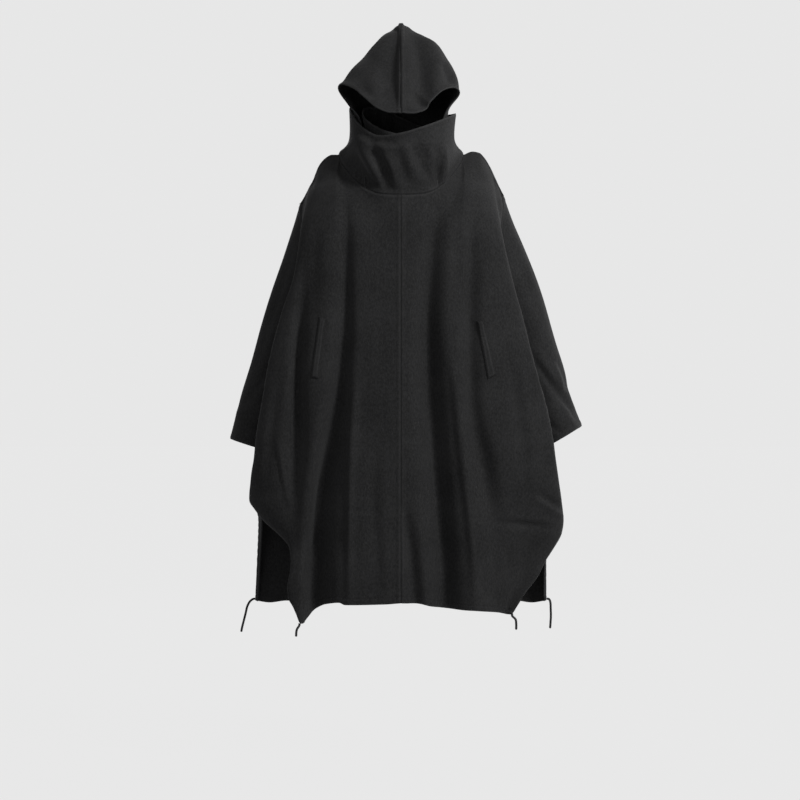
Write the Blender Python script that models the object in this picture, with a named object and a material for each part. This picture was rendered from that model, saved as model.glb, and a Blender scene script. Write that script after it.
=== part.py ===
"""A hooded wool cape coat, worn and hanging from the shoulders.

The coat is cut wide: two fronts joined by a centre seam, a back, two sleeves set into deep
armholes, a hood in two halves, an outer and an inner collar, two welt pockets and four drawcords
at the corners of the hem. Every piece of cloth is a thin closed wall with the worn shape.

Sizes in the tables are in millimetres. +X is the wearer's left, the front faces -Y, +Z is up, and
the origin is the middle of the base of the neck, at the height of the shoulders.
"""

import math

import bmesh
import bpy
import numpy as np

MM = 0.001
RIGHT, LEFT = -1, 1
SIDE_NAME = {RIGHT: "right", LEFT: "left"}

# Driving dimensions of the cloth, in millimetres
WALL = 1.7
GAP = 0.3
CORD_ACROSS = 4.5
WELT_LIFT = {RIGHT: -0.15, LEFT: 0.48}
WELT_WALL = 1.7

# How many rows and columns each piece has
ARMHOLE_ROWS = 8
SIDE_ROWS = 7
VENT_ROWS = 7
BODY_ROWS = ARMHOLE_ROWS + SIDE_ROWS + VENT_ROWS
NECK_STEPS = 9
SHOULDER_STEPS = 4
FRONT_SPLIT = 3
FRONT_COLS = NECK_STEPS + SHOULDER_STEPS * FRONT_SPLIT
FRONT_RETURN = 4
BACK_SPLIT = 2
BACK_COLS = NECK_STEPS + SHOULDER_STEPS * BACK_SPLIT
BACK_RETURN = 3
RING = 4 * NECK_STEPS
SLEEVE_ROWS = 10
HOOD_ROWS = 12
HOOD_SPLIT = 2
HOOD_FROM_DEG = 40
CROWN_ROUND = 3.0
COWL_ROWS = 7
COLLAR_ROWS = 4


def table(columns, *rows):
    """A small table: each column's values under its name."""
    return dict(zip(columns.split(), np.array(rows, float).T))


def through(xs, ys, x):
    """A smooth curve through the rows of a table, with no overshoot, read at x."""
    order = np.argsort(xs)
    xs, ys = xs[order], ys[order]
    step, rise = np.diff(xs), np.diff(ys)
    slope = rise / step
    turn = slope[:-1] * slope[1:]
    both = np.where(turn > 0, slope[:-1] + slope[1:], 1.0)
    inner = np.where(turn > 0, 2 * turn / both, 0.0)
    lean = np.concatenate(([slope[0]], inner, [slope[-1]]))
    x = np.clip(np.asarray(x, float), xs[0], xs[-1])
    i = np.clip(np.searchsorted(xs, x) - 1, 0, len(step) - 1)
    t = (x - xs[i]) / step[i]
    return (
        ys[i] * (1 + 2 * t) * (1 - t) ** 2
        + ys[i + 1] * t * t * (3 - 2 * t)
        + step[i] * lean[i] * t * (1 - t) ** 2
        - step[i] * lean[i + 1] * t * t * (1 - t)
    )


def read(source, key, column, x):
    """One column of a table, read smoothly along its key column."""
    return through(source[key], source[column], x)


# The neck seam, from the centre front (0 degrees) round to the centre back
NECK = table(
    "angle x y z",
    (0, 0, -138, -106),
    (20, 48, -131, -103),
    (35, 78, -119, -94),
    (50, 108, -97, -70),
    (65, 131, -68, -44),
    (80, 150, -28, -14),
    (90, 156, -4, 5),
    (120, 137, 50, 24),
    (150, 76, 85, 33),
    (180, 0, 95, 35),
)

# The shoulder seam, from the neck (0) to the tip of the shoulder (1)
SHOULDER = {
    RIGHT: table(
        "way x y z",
        (0, 156, -4, 5),
        (0.12, 173, 5, 6),
        (0.2, 185, 8, 1),
        (0.38, 203, 10, -17),
        (0.6, 220, 12, -56),
        (0.8, 238, 12, -91),
        (1, 253, 12, -119),
    ),
    LEFT: table(
        "way x y z",
        (0, 156, -4, 5),
        (0.12, 178, 5, 14),
        (0.25, 196, 8, 11),
        (0.38, 208, 10, 0),
        (0.55, 223, 10, -24),
        (0.75, 238, 12, -56),
        (1, 258, 12, -99),
    ),
}

# The armhole: its top is the shoulder's tip, its bottom the underarm
ARMHOLE = {
    RIGHT: {"top_x": 253, "top_z": -119, "low_x": 200, "low_z": -440, "y": 12, "deep": 72},
    LEFT: {"top_x": 258, "top_z": -99, "low_x": 205, "low_z": -430, "y": 12, "deep": 72},
}

# Lines that run down the cloth: each pleat follows one. The share is where the line lies between
# the centre seam (0) and the fold (1), and the rows give its distance from the centre.
FRONT_GUIDES = {
    RIGHT: {
        0.43: table(
            "z x", (-20, 100), (-110, 108), (-169, 118), (-364, 127), (-510, 131), (-608, 142), (-724, 152),
            (-880, 161), (-1000, 168), (-1100, 174)
        ),
        0.76: table(
            "z x", (-20, 172), (-110, 186), (-230, 210), (-373, 232), (-559, 247), (-700, 250), (-842, 257),
            (-930, 252), (-1000, 232), (-1110, 205)
        ),
    },
    LEFT: {
        0.14: table("z x", (-20, 33), (-860, 14), (-920, 26), (-1000, 44), (-1115, 54)),
        0.34: table(
            "z x", (-20, 82), (-110, 88), (-291, 86), (-413, 80), (-559, 77), (-700, 82), (-841, 104),
            (-958, 126), (-1115, 158)
        ),
        0.7: table(
            "z x", (-20, 156), (-110, 166), (-240, 182), (-400, 188), (-520, 190), (-620, 200), (-802, 222),
            (-920, 232), (-1010, 236), (-1115, 232)
        ),
    },
}
BACK_GUIDES = {
    RIGHT: {
        0.28: table("z x", (-20, 58), (-400, 62), (-800, 78), (-1118, 92)),
        0.62: table("z x", (-20, 140), (-240, 152), (-450, 168), (-800, 205), (-1118, 235)),
    },
    LEFT: {
        0.3: table("z x", (-20, 62), (-260, 68), (-500, 76), (-850, 98), (-1118, 118)),
        0.64: table("z x", (-20, 142), (-200, 156), (-450, 178), (-800, 214), (-1118, 250)),
    },
}

# How far the centre seams stand from the wearer, down the body
CENTRE_FRONT = table(
    "z y", (20, -120), (-106, -138), (-200, -148), (-400, -157), (-700, -165), (-1100, -175)
)
CENTRE_BACK = table(
    "z y", (35, 95), (0, 110), (-64, 128), (-180, 142), (-400, 147), (-700, 151), (-1118, 160)
)

# The edge where each front folds over its sleeve. Turn is how round the fold is, tuck is how far
# the cloth runs in behind it.
FRONT_FOLD = {
    RIGHT: table(
        "z x y turn tuck",
        (-64, 221, -45, 40, 60),
        (-108, 232, -68, 40, 60),
        (-174, 246, -86, 40, 70),
        (-243, 256, -93, 45, 90),
        (-307, 268, -96, 50, 110),
        (-371, 288, -98, 50, 160),
        (-440, 307, -100, 55, 240),
        (-519, 327, -102, 60, 290),
        (-608, 342, -102, 60, 290),
        (-701, 359, -98, 60, 260),
        (-753, 364, -92, 60, 140),
        (-790, 370, -85, 60, 80),
        (-854, 375, -72, 40, 40),
        (-879, 360, -78, 20, 20),
        (-903, 341, -86, 10, 10),
        (-949, 290, -106, 10, 10),
        (-971, 274, -118, 10, 10),
        (-1010, 270, -136, 20, 20),
        (-1069, 278, -142, 24, 24),
        (-1091, 276, -142, 20, 20),
        (-1114, 263, -150, 10, 10),
        (-1150, 248, -163, 6, 6),
    ),
    LEFT: table(
        "z x y turn tuck",
        (-64, 219, -48, 40, 60),
        (-108, 227, -68, 40, 60),
        (-179, 244, -86, 40, 70),
        (-263, 263, -93, 45, 90),
        (-342, 283, -97, 50, 130),
        (-411, 302, -100, 50, 200),
        (-490, 322, -102, 55, 280),
        (-549, 337, -102, 60, 290),
        (-637, 361, -100, 60, 290),
        (-701, 374, -98, 60, 270),
        (-758, 382, -90, 60, 140),
        (-820, 392, -80, 60, 80),
        (-880, 401, -65, 40, 40),
        (-904, 403, -60, 20, 20),
        (-937, 398, -62, 10, 10),
        (-968, 381, -68, 10, 10),
        (-1007, 355, -82, 10, 10),
        (-1041, 338, -96, 10, 10),
        (-1078, 308, -118, 10, 10),
        (-1097, 294, -130, 10, 10),
        (-1129, 272, -144, 6, 6),
    ),
}

# The side seam below the underarm, and below the vent's top the free edge of each front
FRONT_SIDE = {
    RIGHT: table(
        "z x y",
        (-440, 200, 12),
        (-480, 192, 10),
        (-530, 194, 8),
        (-600, 214, 2),
        (-690, 246, 0),
        (-730, 268, 0),
        (-770, 312, -4),
        (-810, 350, -16),
        (-854, 371, -42),
        (-879, 358, -66),
        (-903, 339, -80),
        (-949, 287, -100),
        (-971, 268, -108),
        (-1010, 260, -114),
        (-1069, 264, -122),
        (-1091, 262, -124),
        (-1114, 252, -133),
        (-1150, 238, -147),
    ),
    LEFT: table(
        "z x y",
        (-430, 205, 12),
        (-470, 197, 10),
        (-520, 199, 8),
        (-600, 220, 2),
        (-690, 252, 0),
        (-730, 276, 0),
        (-775, 325, -4),
        (-830, 375, -18),
        (-895, 401, -42),
        (-937, 396, -54),
        (-968, 379, -63),
        (-1007, 350, -68),
        (-1041, 331, -80),
        (-1078, 299, -102),
        (-1097, 283, -114),
        (-1129, 260, -128),
    ),
}
VENT_TOP_Z = {RIGHT: -854, LEFT: -895}
CORNER_Z = {RIGHT: -1150, LEFT: -1129}

# The hem of each front, from the centre seam to the corner
FRONT_HEM = {
    RIGHT: table(
        "x z",
        (0, -1100),
        (40, -1103),
        (138, -1105),
        (152, -1100),
        (187, -1106),
        (209, -1117),
        (226, -1134),
        (246, -1150),
    ),
    LEFT: table(
        "x z",
        (0, -1100),
        (39, -1102),
        (102, -1115),
        (141, -1118),
        (180, -1120),
        (226, -1124),
        (271, -1129),
    ),
}

# The back's own fold behind each sleeve, and its free edge below the vent's top
BACK_FOLD = {
    RIGHT: table(
        "z x y turn tuck",
        (-64, 222, 60, 30, 40),
        (-119, 240, 80, 30, 50),
        (-180, 250, 98, 35, 90),
        (-263, 262, 110, 40, 130),
        (-342, 276, 117, 45, 190),
        (-440, 292, 120, 50, 290),
        (-549, 312, 121, 55, 330),
        (-637, 328, 121, 55, 330),
        (-720, 342, 119, 55, 260),
        (-790, 358, 96, 50, 80),
        (-854, 371, 70, 40, 60),
        (-912, 362, 84, 20, 30),
        (-1014, 366, 98, 10, 10),
        (-1116, 371, 106, 8, 8),
    ),
    LEFT: table(
        "z x y turn tuck",
        (-64, 222, 60, 30, 40),
        (-119, 240, 80, 30, 50),
        (-180, 250, 98, 35, 90),
        (-263, 266, 110, 40, 130),
        (-342, 282, 117, 45, 190),
        (-440, 300, 120, 50, 290),
        (-549, 322, 121, 55, 330),
        (-637, 340, 121, 55, 330),
        (-720, 356, 119, 55, 260),
        (-800, 376, 96, 50, 80),
        (-880, 397, 60, 40, 60),
        (-940, 382, 76, 20, 30),
        (-1014, 370, 98, 10, 10),
        (-1116, 370, 106, 8, 8),
    ),
}
BACK_SIDE = {
    RIGHT: table(
        "z x y", (-854, 371, -42), (-905, 352, 30), (-960, 355, 62), (-1014, 359, 82), (-1116, 366, 96)
    ),
    LEFT: table(
        "z x y", (-895, 401, -42), (-935, 384, 18), (-980, 369, 56), (-1040, 365, 84), (-1116, 365, 96)
    ),
}
BACK_HEM = table("x z", (0, -1120), (120, -1118), (220, -1122), (291, -1119), (332, -1123), (372, -1116))

# Soft pleats that hang in the fronts and the back: where each lies, how deep it is, and how wide
# towards the side and towards the middle
FRONT_PLEATS = {
    RIGHT: {
        "side pleat": table(
            "z x deep out inward",
            (-230, 232, 0, 16, 20),
            (-373, 244, 16, 16, 18),
            (-520, 252, 30, 16, 18),
            (-640, 254, 28, 20, 20),
            (-760, 256, 20, 24, 24),
            (-880, 258, 8, 24, 28),
            (-960, 260, 0, 24, 28),
        ),
        "long pleat": table(
            "z x deep out inward",
            (-110, 128, 0, 22, 16),
            (-215, 132, 12, 24, 16),
            (-400, 134, 24, 24, 17),
            (-549, 146, 32, 22, 22),
            (-681, 168, 40, 20, 30),
            (-866, 204, 48, 18, 42),
            (-1000, 214, 54, 18, 46),
            (-1110, 216, 56, 18, 46),
        ),
    },
    LEFT: {
        "long pleat": table(
            "z x deep out inward",
            (-110, 86, 0, 24, 22),
            (-215, 76, 14, 24, 24),
            (-400, 66, 30, 26, 24),
            (-549, 66, 40, 32, 24),
            (-681, 76, 42, 36, 26),
            (-866, 90, 46, 38, 28),
            (-1000, 96, 48, 42, 26),
            (-1115, 100, 48, 42, 24),
        ),
        "pocket pleat": table(
            "z x deep out inward",
            (-90, 178, 0, 18, 14),
            (-200, 172, 8, 20, 14),
            (-400, 168, 16, 22, 16),
            (-520, 168, 16, 22, 16),
            (-620, 172, 16, 22, 16),
            (-802, 206, 20, 28, 22),
            (-920, 222, 12, 28, 24),
            (-1010, 230, 0, 24, 24),
        ),
        "low pleat": table(
            "z x deep out inward",
            (-860, 10, 0, 16, 10),
            (-920, 16, 10, 18, 10),
            (-1000, 24, 16, 20, 12),
            (-1115, 34, 18, 22, 14),
        ),
        "turned side": table(
            "z x deep out inward",
            (-780, 300, 0, 70, 60),
            (-880, 305, 14, 70, 60),
            (-1000, 300, 40, 70, 60),
            (-1115, 280, 60, 60, 50),
        ),
    },
}
BACK_PLEATS = {
    RIGHT: {
        "outer pleat": table(
            "z x deep out inward",
            (-240, 150, 0, 24, 24),
            (-450, 168, 16, 26, 24),
            (-800, 205, 34, 30, 26),
            (-1118, 235, 42, 32, 26),
        ),
        "inner pleat": table(
            "z x deep out inward",
            (-150, 52, 0, 22, 24),
            (-400, 60, 12, 22, 26),
            (-800, 78, 26, 24, 28),
            (-1118, 92, 34, 26, 30),
        ),
    },
    LEFT: {
        "outer pleat": table(
            "z x deep out inward",
            (-200, 156, 0, 26, 24),
            (-450, 178, 18, 26, 26),
            (-800, 214, 30, 30, 28),
            (-1118, 250, 38, 30, 30),
        ),
        "inner pleat": table(
            "z x deep out inward",
            (-260, 66, 0, 22, 22),
            (-500, 74, 14, 22, 24),
            (-850, 98, 28, 26, 26),
            (-1118, 118, 36, 28, 28),
        ),
    },
}

# Each sleeve, from the armhole (0) to the cuff (1): its outer line, its inner line, and half its
# depth from front to back
SLEEVE = {
    RIGHT: table(
        "way outer_x outer_z inner_x inner_z half",
        (0, 253, -119, 200, -440, 72),
        (0.06, 262, -146, 212, -452, 70),
        (0.2, 292, -240, 228, -486, 66),
        (0.35, 322, -330, 242, -532, 63),
        (0.5, 350, -425, 252, -580, 62),
        (0.65, 373, -508, 270, -625, 62),
        (0.8, 399, -592, 290, -673, 62),
        (1, 428, -703, 316, -738, 63),
    ),
    LEFT: table(
        "way outer_x outer_z inner_x inner_z half",
        (0, 258, -99, 205, -430, 72),
        (0.06, 271, -137, 217, -442, 70),
        (0.2, 308, -227, 234, -478, 66),
        (0.35, 340, -313, 250, -524, 63),
        (0.5, 370, -403, 264, -575, 62),
        (0.62, 389, -468, 281, -615, 62),
        (0.76, 411, -546, 301, -660, 62),
        (0.83, 417, -584, 311, -684, 62),
        (0.91, 437, -630, 323, -710, 62),
        (1, 453, -670, 336, -738, 63),
    ),
}

# Each half of the hood, from the neck seam up to the seam over the head. The columns run from
# the face edge, over the cheek, the crown and the nape, to the centre back seam.
HOOD_COLUMNS = "way face_x face_y face_z cheek_x cheek_y cheek_z crown_x crown_y crown_z nape_x nape_y nape_z back_y back_z"
HOOD = {
    RIGHT: table(
        HOOD_COLUMNS,
        (0.12, 94, -78, 26, 112, -26, 40, 108, 32, 50, 70, 80, 62, 102, 76),
        (0.22, 104, -58, 88, 113, -16, 92, 110, 34, 102, 72, 88, 114, 110, 128),
        (0.29, 130, -52, 122, 122, -12, 124, 116, 36, 134, 75, 93, 150, 118, 166),
        (0.38, 156, -52, 160, 141, -12, 156, 128, 36, 166, 80, 98, 184, 124, 202),
        (0.5, 148, -60, 176, 138, -24, 192, 112, 32, 214, 68, 88, 232, 112, 256),
        (0.64, 110, -106, 155, 116, -46, 214, 93, 12, 250, 58, 64, 268, 92, 288),
        (0.78, 71, -135, 115, 84, -76, 204, 70, -10, 272, 44, 40, 298, 62, 313),
        (0.9, 34, -148, 97, 42, -98, 190, 42, -30, 288, 26, 18, 318, 36, 328),
        (1, 0, -151, 93, 0, -112, 184, 0, -48, 284, 0, -6, 324, 15, 337),
    ),
    LEFT: table(
        HOOD_COLUMNS,
        (0.12, 98, -80, 22, 115, -26, 38, 108, 32, 50, 70, 80, 62, 102, 76),
        (0.22, 106, -56, 84, 115, -16, 90, 112, 34, 102, 72, 88, 114, 110, 128),
        (0.29, 118, -52, 114, 119, -12, 118, 118, 36, 134, 75, 93, 150, 118, 166),
        (0.38, 146, -52, 150, 138, -12, 150, 128, 36, 166, 80, 98, 184, 124, 202),
        (0.5, 136, -66, 165, 142, -32, 182, 118, 32, 214, 68, 88, 232, 112, 256),
        (0.64, 110, -95, 157, 126, -44, 210, 110, 12, 252, 70, 64, 268, 92, 288),
        (0.78, 78, -126, 130, 96, -74, 208, 90, -8, 276, 58, 40, 296, 62, 313),
        (0.9, 44, -146, 96, 54, -98, 190, 54, -30, 288, 34, 18, 316, 36, 328),
        (1, 0, -151, 93, 0, -112, 184, 0, -48, 284, 0, -6, 324, 15, 337),
    ),
}

# The outer collar at half its height and at its top edge, every 30 degrees round the neck,
# from the centre front towards the wearer's left
COWL = table(
    "angle mid_x mid_y mid_z top_x top_y top_z",
    (0, 0, -148, -30, -2, -137, 45),
    (30, 72, -131, -24, 60, -125, 64),
    (60, 122, -82, 10, 112, -80, 88),
    (90, 134, -8, 42, 137, -22, 105),
    (120, 120, 68, 52, 122, 60, 112),
    (150, 70, 116, 58, 72, 114, 116),
    (180, 0, 130, 60, 0, 134, 118),
    (210, -70, 116, 58, -70, 114, 120),
    (240, -117, 68, 52, -116, 62, 122),
    (270, -130, -8, 42, -129, -14, 120),
    (300, -116, -87, 8, -109, -80, 78),
    (330, -68, -133, -26, -62, -119, 42),
)
COWL_PLEATS = {
    "left wedge": table(
        "z x deep out inward", (-86, -92, 6, 12, 16), (-40, -118, 6, 12, 16), (0, -128, 0, 12, 16)
    ),
    "long fold": table(
        "z x deep out inward",
        (-96, -20, 3, 12, 7),
        (-60, -28, 9, 12, 7),
        (-10, -48, 9, 12, 8),
        (24, -60, 0, 12, 8),
    ),
    "middle fold": table(
        "z x deep out inward", (-80, 78, 2, 9, 12), (-40, 58, 6, 9, 12), (10, 28, 5, 9, 12), (30, 18, 0, 9, 12)
    ),
    "side fold": table(
        "z x deep out inward", (-86, 92, 3, 6, 10), (-40, 98, 8, 6, 10), (0, 104, 0, 6, 10)
    ),
}

# The inner collar's top edge and half height, every 30 degrees round the neck
COLLAR = table(
    "angle mid_x mid_y mid_z top_x top_y top_z",
    (0, 0, -118, -34, -5, -112, 44),
    (30, 55, -102, -32, 50, -98, 32),
    (60, 82, -62, -8, 76, -60, 30),
    (90, 92, -8, 22, 88, -8, 42),
    (120, 78, 38, 38, 77, 40, 62),
    (150, 44, 66, 52, 42, 68, 88),
    (180, 0, 78, 62, 0, 82, 108),
    (210, -44, 66, 66, -40, 67, 127),
    (240, -78, 38, 60, -76, 40, 128),
    (270, -92, -8, 44, -97, -8, 115),
    (300, -83, -60, 6, -88, -60, 87),
    (330, -53, -100, -22, -48, -98, 58),
)

# The welt of each pocket: its four corners as seen from the front
WELT = {
    RIGHT: {"in_top": (184, -410), "out_top": (199, -405), "in_low": (202, -555), "out_low": (219, -551)},
    LEFT: {"in_top": (186, -415), "out_top": (201, -412), "in_low": (212, -556), "out_low": (231, -546)},
}
WELT_COLS, WELT_ROWS = 2, 10

# The drawcords, each from where it leaves the hem to its free end
CORD_ROUTES = {
    "drawcord_back_right": (
        (-371.5, 104.5, -1112.5),
        (-378, 103, -1114.5),
        (-385, 100, -1121),
        (-391, 101, -1133),
        (-395, 101, -1150),
        (-400, 100, -1170),
        (-404, 100, -1186),
        (-406, 100, -1197),
    ),
    "drawcord_front_right": (
        (-247, -161.5, -1150.85),
        (-247.5, -162, -1156),
        (-252.5, -166, -1164),
        (-254.5, -166, -1172),
        (-255, -166, -1183),
    ),
    "drawcord_front_left": (
        (271, -142.3, -1130.3),
        (271.8, -142.8, -1135),
        (279.5, -146, -1143),
        (281, -146, -1155),
        (281, -146, -1168),
    ),
    "drawcord_back_left": (
        (370.9, 104.5, -1112.5),
        (377, 103.6, -1114.5),
        (380, 101.5, -1123),
        (380.5, 100, -1137),
        (381, 100, -1156),
        (380, 100, -1174),
        (379, 100, -1188),
    ),
}
CORD_STEP = 2.4

# A seam's wall is cut on the slant where two pieces meet at an angle, but never longer than this
MITRE_LEAST = 0.55

# How far down the shape of the neck and shoulders reaches
YOKE_FADE = 170.0

# The part of the way from a fold to its seam in which the cloth comes in as far as the seam
RETURN_WAY = 0.78

# How far the body comes in under the arm, and how far up and down that reaches
UNDERARM_IN = 16.0
UNDERARM_REACH = 80.0

CHARCOAL = (0.021, 0.021, 0.022, 1.0)
CORD_BLACK = (0.010, 0.010, 0.011, 1.0)


def pleat_depth(pleats, x, z):
    """How far the pleats press the cloth in, at places given as they are seen from the front."""
    total = np.zeros(np.broadcast(x, z).shape)
    for pleat in pleats.values():
        off = x - read(pleat, "z", "x", z)
        outward = off * np.sign(pleat["x"].sum()) > 0
        wide = np.where(outward, read(pleat, "z", "out", z), read(pleat, "z", "inward", z))
        total = total + read(pleat, "z", "deep", z) * np.exp(-((off / wide) ** 2))
    return total


def neck_ring(angle):
    """A place on the neck seam, from an angle in degrees that may be past the half turn."""
    angle = np.mod(angle, 360.0)
    mirrored = np.where(angle > 180, 360 - angle, angle)
    side = np.where(angle > 180, -1.0, 1.0)
    return np.stack(
        [side * read(NECK, "angle", "x", mirrored)]
        + [read(NECK, "angle", axis, mirrored) for axis in "yz"],
        -1,
    )


def armhole(side, angle):
    """A place on the armhole: 0 is its top, a half turn its bottom, by way of the front."""
    hole = ARMHOLE[side]
    middle_x, middle_z = (hole["top_x"] + hole["low_x"]) / 2, (hole["top_z"] + hole["low_z"]) / 2
    half_x, half_z = (hole["top_x"] - hole["low_x"]) / 2, (hole["top_z"] - hole["low_z"]) / 2
    return np.stack(
        [
            side * (middle_x + half_x * np.cos(angle)),
            hole["y"] - hole["deep"] * np.sin(angle),
            middle_z + half_z * np.cos(angle),
        ],
        -1,
    )


def side_edge(side, below, z, facing):
    """The panel's side edge at a height: the armhole, then the side seam, then the vent."""
    hole = ARMHOLE[side]
    half = (hole["top_z"] - hole["low_z"]) / 2
    turn = np.arccos(np.clip((z - hole["low_z"]) / half - 1, -1, 1))
    ring = armhole(side, facing * turn)
    under = z < hole["low_z"]
    x = np.where(under, side * read(below, "z", "x", z), ring[..., 0])
    y = np.where(under, read(below, "z", "y", z), ring[..., 1])
    return x, y


def guided(guides, share, z, fold_x):
    """The distance from the centre at a share of the way to the fold, along the guide lines."""
    stops = sorted(guides)
    knots = np.array([0.0, *stops, 1.0])
    distances = [read(guides[stop], "z", "x", z.ravel()) for stop in stops]
    values = np.array([0 * z.ravel(), *distances, fold_x.ravel()]).T
    found = [through(knots, row, place) for row, place in zip(values, share.ravel())]
    return np.array(found).reshape(z.shape)


def section(side, u, z, folds, centre, below, split, facing, pleats, guides):
    """A place on a body panel: u runs from the centre seam (0) to the side edge (1)."""
    fold_x, fold_y, turn, tuck = (read(folds, "z", column, z) for column in ("x", "y", "turn", "tuck"))
    centre_y = read(centre, "z", "y", z)
    tau = np.clip(u / split, 0, 1)
    share = 0.5 * np.sin(tau * math.pi / 2) + 0.5 * tau
    x = side * guided(guides, share, z, fold_x)
    s = np.clip(np.abs(x) / fold_x, 0, 1)
    y = fold_y + (centre_y - fold_y) * np.clip(1 - s**2.4, 0, 1) ** 0.62
    press = pleat_depth(pleats, np.abs(x), z) * (1 - s**10)
    y = y + facing * press
    seam_x, seam_y = side_edge(side, below, z, facing)
    t = np.clip((u - split) / (1 - split), 0, 1)
    reach = t * t * (3 - 2 * t)
    bow = facing * (turn * t * (1 - t) ** 2 - tuck * t * t * (1 - t))
    sooner = np.clip(t / RETURN_WAY, 0, 1)
    inboard = sooner * sooner * (3 - 2 * sooner)
    back_x = (1 - inboard) * side * fold_x + inboard * seam_x
    low = np.exp(-(((z - ARMHOLE[side]["low_z"]) / UNDERARM_REACH) ** 2))
    back_x = back_x - side * UNDERARM_IN * low * 6.75 * t * t * (1 - t)
    back_y = (1 - reach) * fold_y + reach * seam_y + bow
    beyond = u > split
    return np.stack([np.where(beyond, back_x, x), np.where(beyond, back_y, y), z], -1)


def top_edge(side, u, neck_end, from_angle):
    """The neck seam and then the shoulder seam, along the top of a body panel."""
    around = np.clip(u / neck_end, 0, 1)
    ring = neck_ring(side * (from_angle + (90 - from_angle) * around))
    way = np.clip((u - neck_end) / (1 - neck_end), 0, 1)
    line = np.stack([read(SHOULDER[side], "way", axis, way) for axis in "xyz"], -1)
    line[..., 0] *= side
    return np.where((u <= neck_end)[..., None], ring, line)


def edge_heights(side, low_z):
    """The heights of the side edge's rows: armhole, side seam, then vent."""
    hole = ARMHOLE[side]
    turn = np.linspace(0, math.pi, ARMHOLE_ROWS + 1)
    ring = (hole["top_z"] + hole["low_z"]) / 2 + (hole["top_z"] - hole["low_z"]) / 2 * np.cos(turn)
    seam = np.linspace(hole["low_z"], VENT_TOP_Z[side], SIDE_ROWS + 1)[1:]
    vent = np.linspace(VENT_TOP_Z[side], low_z, VENT_ROWS + 1)[1:]
    return np.concatenate([ring, seam, vent])


def body_panel(side, columns, return_columns, facing):
    """The places of one half of the body's front (facing 1) or back (facing -1)."""
    front = facing > 0
    folds = (FRONT_FOLD if front else BACK_FOLD)[side]
    below = FRONT_SIDE[side] if front else side_and_back_edge(side)
    centre = CENTRE_FRONT if front else CENTRE_BACK
    pleats = (FRONT_PLEATS if front else BACK_PLEATS)[side]
    guides = (FRONT_GUIDES if front else BACK_GUIDES)[side]
    corner = CORNER_Z[side] if front else BACK_HEM["z"][-1]
    hem = FRONT_HEM[side] if front else BACK_HEM
    split = 1 - return_columns / columns
    u = np.linspace(0, 1, columns + 1)[None, :]
    row = np.linspace(0, 1, BODY_ROWS + 1)[:, None]
    top = top_edge(side, u[0], NECK_STEPS / columns, 0 if front else 180)
    top_z = top[:, 2][None, :]
    low = section(side, u, corner + 30 + 0 * u, folds, centre, below, split, facing, pleats, guides)
    low_z = read(hem, "x", "z", np.abs(low[..., 0]))
    low_z[:, -1] = corner
    heights = edge_heights(side, corner)
    edge = ((heights - heights[0]) / (heights[-1] - heights[0]))[:, None]
    weight = u**2
    fall = (1 - weight) * row + weight * edge
    z = top_z + (low_z - top_z) * fall
    places = section(side, u + 0 * z, z, folds, centre, below, split, facing, pleats, guides)
    yoke = (top - places[0])[None]
    sink = np.clip((top_z - z) / YOKE_FADE, 0, 1)
    sideways = (1 - sink) ** 2 * (1 + 2 * sink)
    places = places + yoke * np.stack([sideways, (1 - sink) ** 2, sideways], -1)
    ring = armhole(side, facing * np.linspace(0, math.pi, ARMHOLE_ROWS + 1))
    places[: ARMHOLE_ROWS + 1, -1] = ring
    places[1:4, -2] = (places[1:4, -3] + places[1:4, -2] + places[1:4, -1]) / 3
    return places


def side_and_back_edge(side):
    """The side seam that the back shares with the front, then the back's own free edge."""
    shared = FRONT_SIDE[side]["z"] >= VENT_TOP_Z[side]
    return {
        axis: np.concatenate([FRONT_SIDE[side][axis][shared], BACK_SIDE[side][axis][1:]])
        for axis in "zxy"
    }


def sleeve(side):
    """A sleeve's rings, from the armhole to the cuff."""
    way = np.linspace(0, 1, SLEEVE_ROWS + 1)[:, None]
    angle = np.linspace(0, 2 * math.pi, 2 * ARMHOLE_ROWS + 1)[None, :-1]
    shape = {c: read(SLEEVE[side], "way", c, way) for c in ("outer_x", "outer_z", "inner_x", "inner_z", "half")}
    across = (1 + np.cos(angle)) / 2
    x = side * (shape["inner_x"] + (shape["outer_x"] - shape["inner_x"]) * across)
    z = shape["inner_z"] + (shape["outer_z"] - shape["inner_z"]) * across
    y = ARMHOLE[side]["y"] - shape["half"] * np.sin(angle)
    return np.stack([x, y + 0 * x, z], -1)


def spline(rows, where):
    """A smooth curve through rows of places, read at where, from 0 to the last row."""
    rows = np.asarray(rows, float)
    last = len(rows) - 1
    i = np.clip(np.floor(where).astype(int), 0, last - 1)
    t = (where - i)[..., None] if rows.ndim == 2 else (where - i)[..., None, None]
    before, a, b, after = (rows[np.clip(i + k, 0, last)] for k in (-1, 0, 1, 2))
    before = np.where(np.expand_dims(i, tuple(range(1, before.ndim))) == 0, 2 * a - b, before)
    after = np.where(np.expand_dims(i, tuple(range(1, after.ndim))) == last - 1, 2 * b - a, after)
    return 0.5 * (
        2 * a
        + (b - before) * t
        + (2 * before - 5 * a + 4 * b - after) * t**2
        + (3 * a - before - 3 * b + after) * t**3
    )


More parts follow.
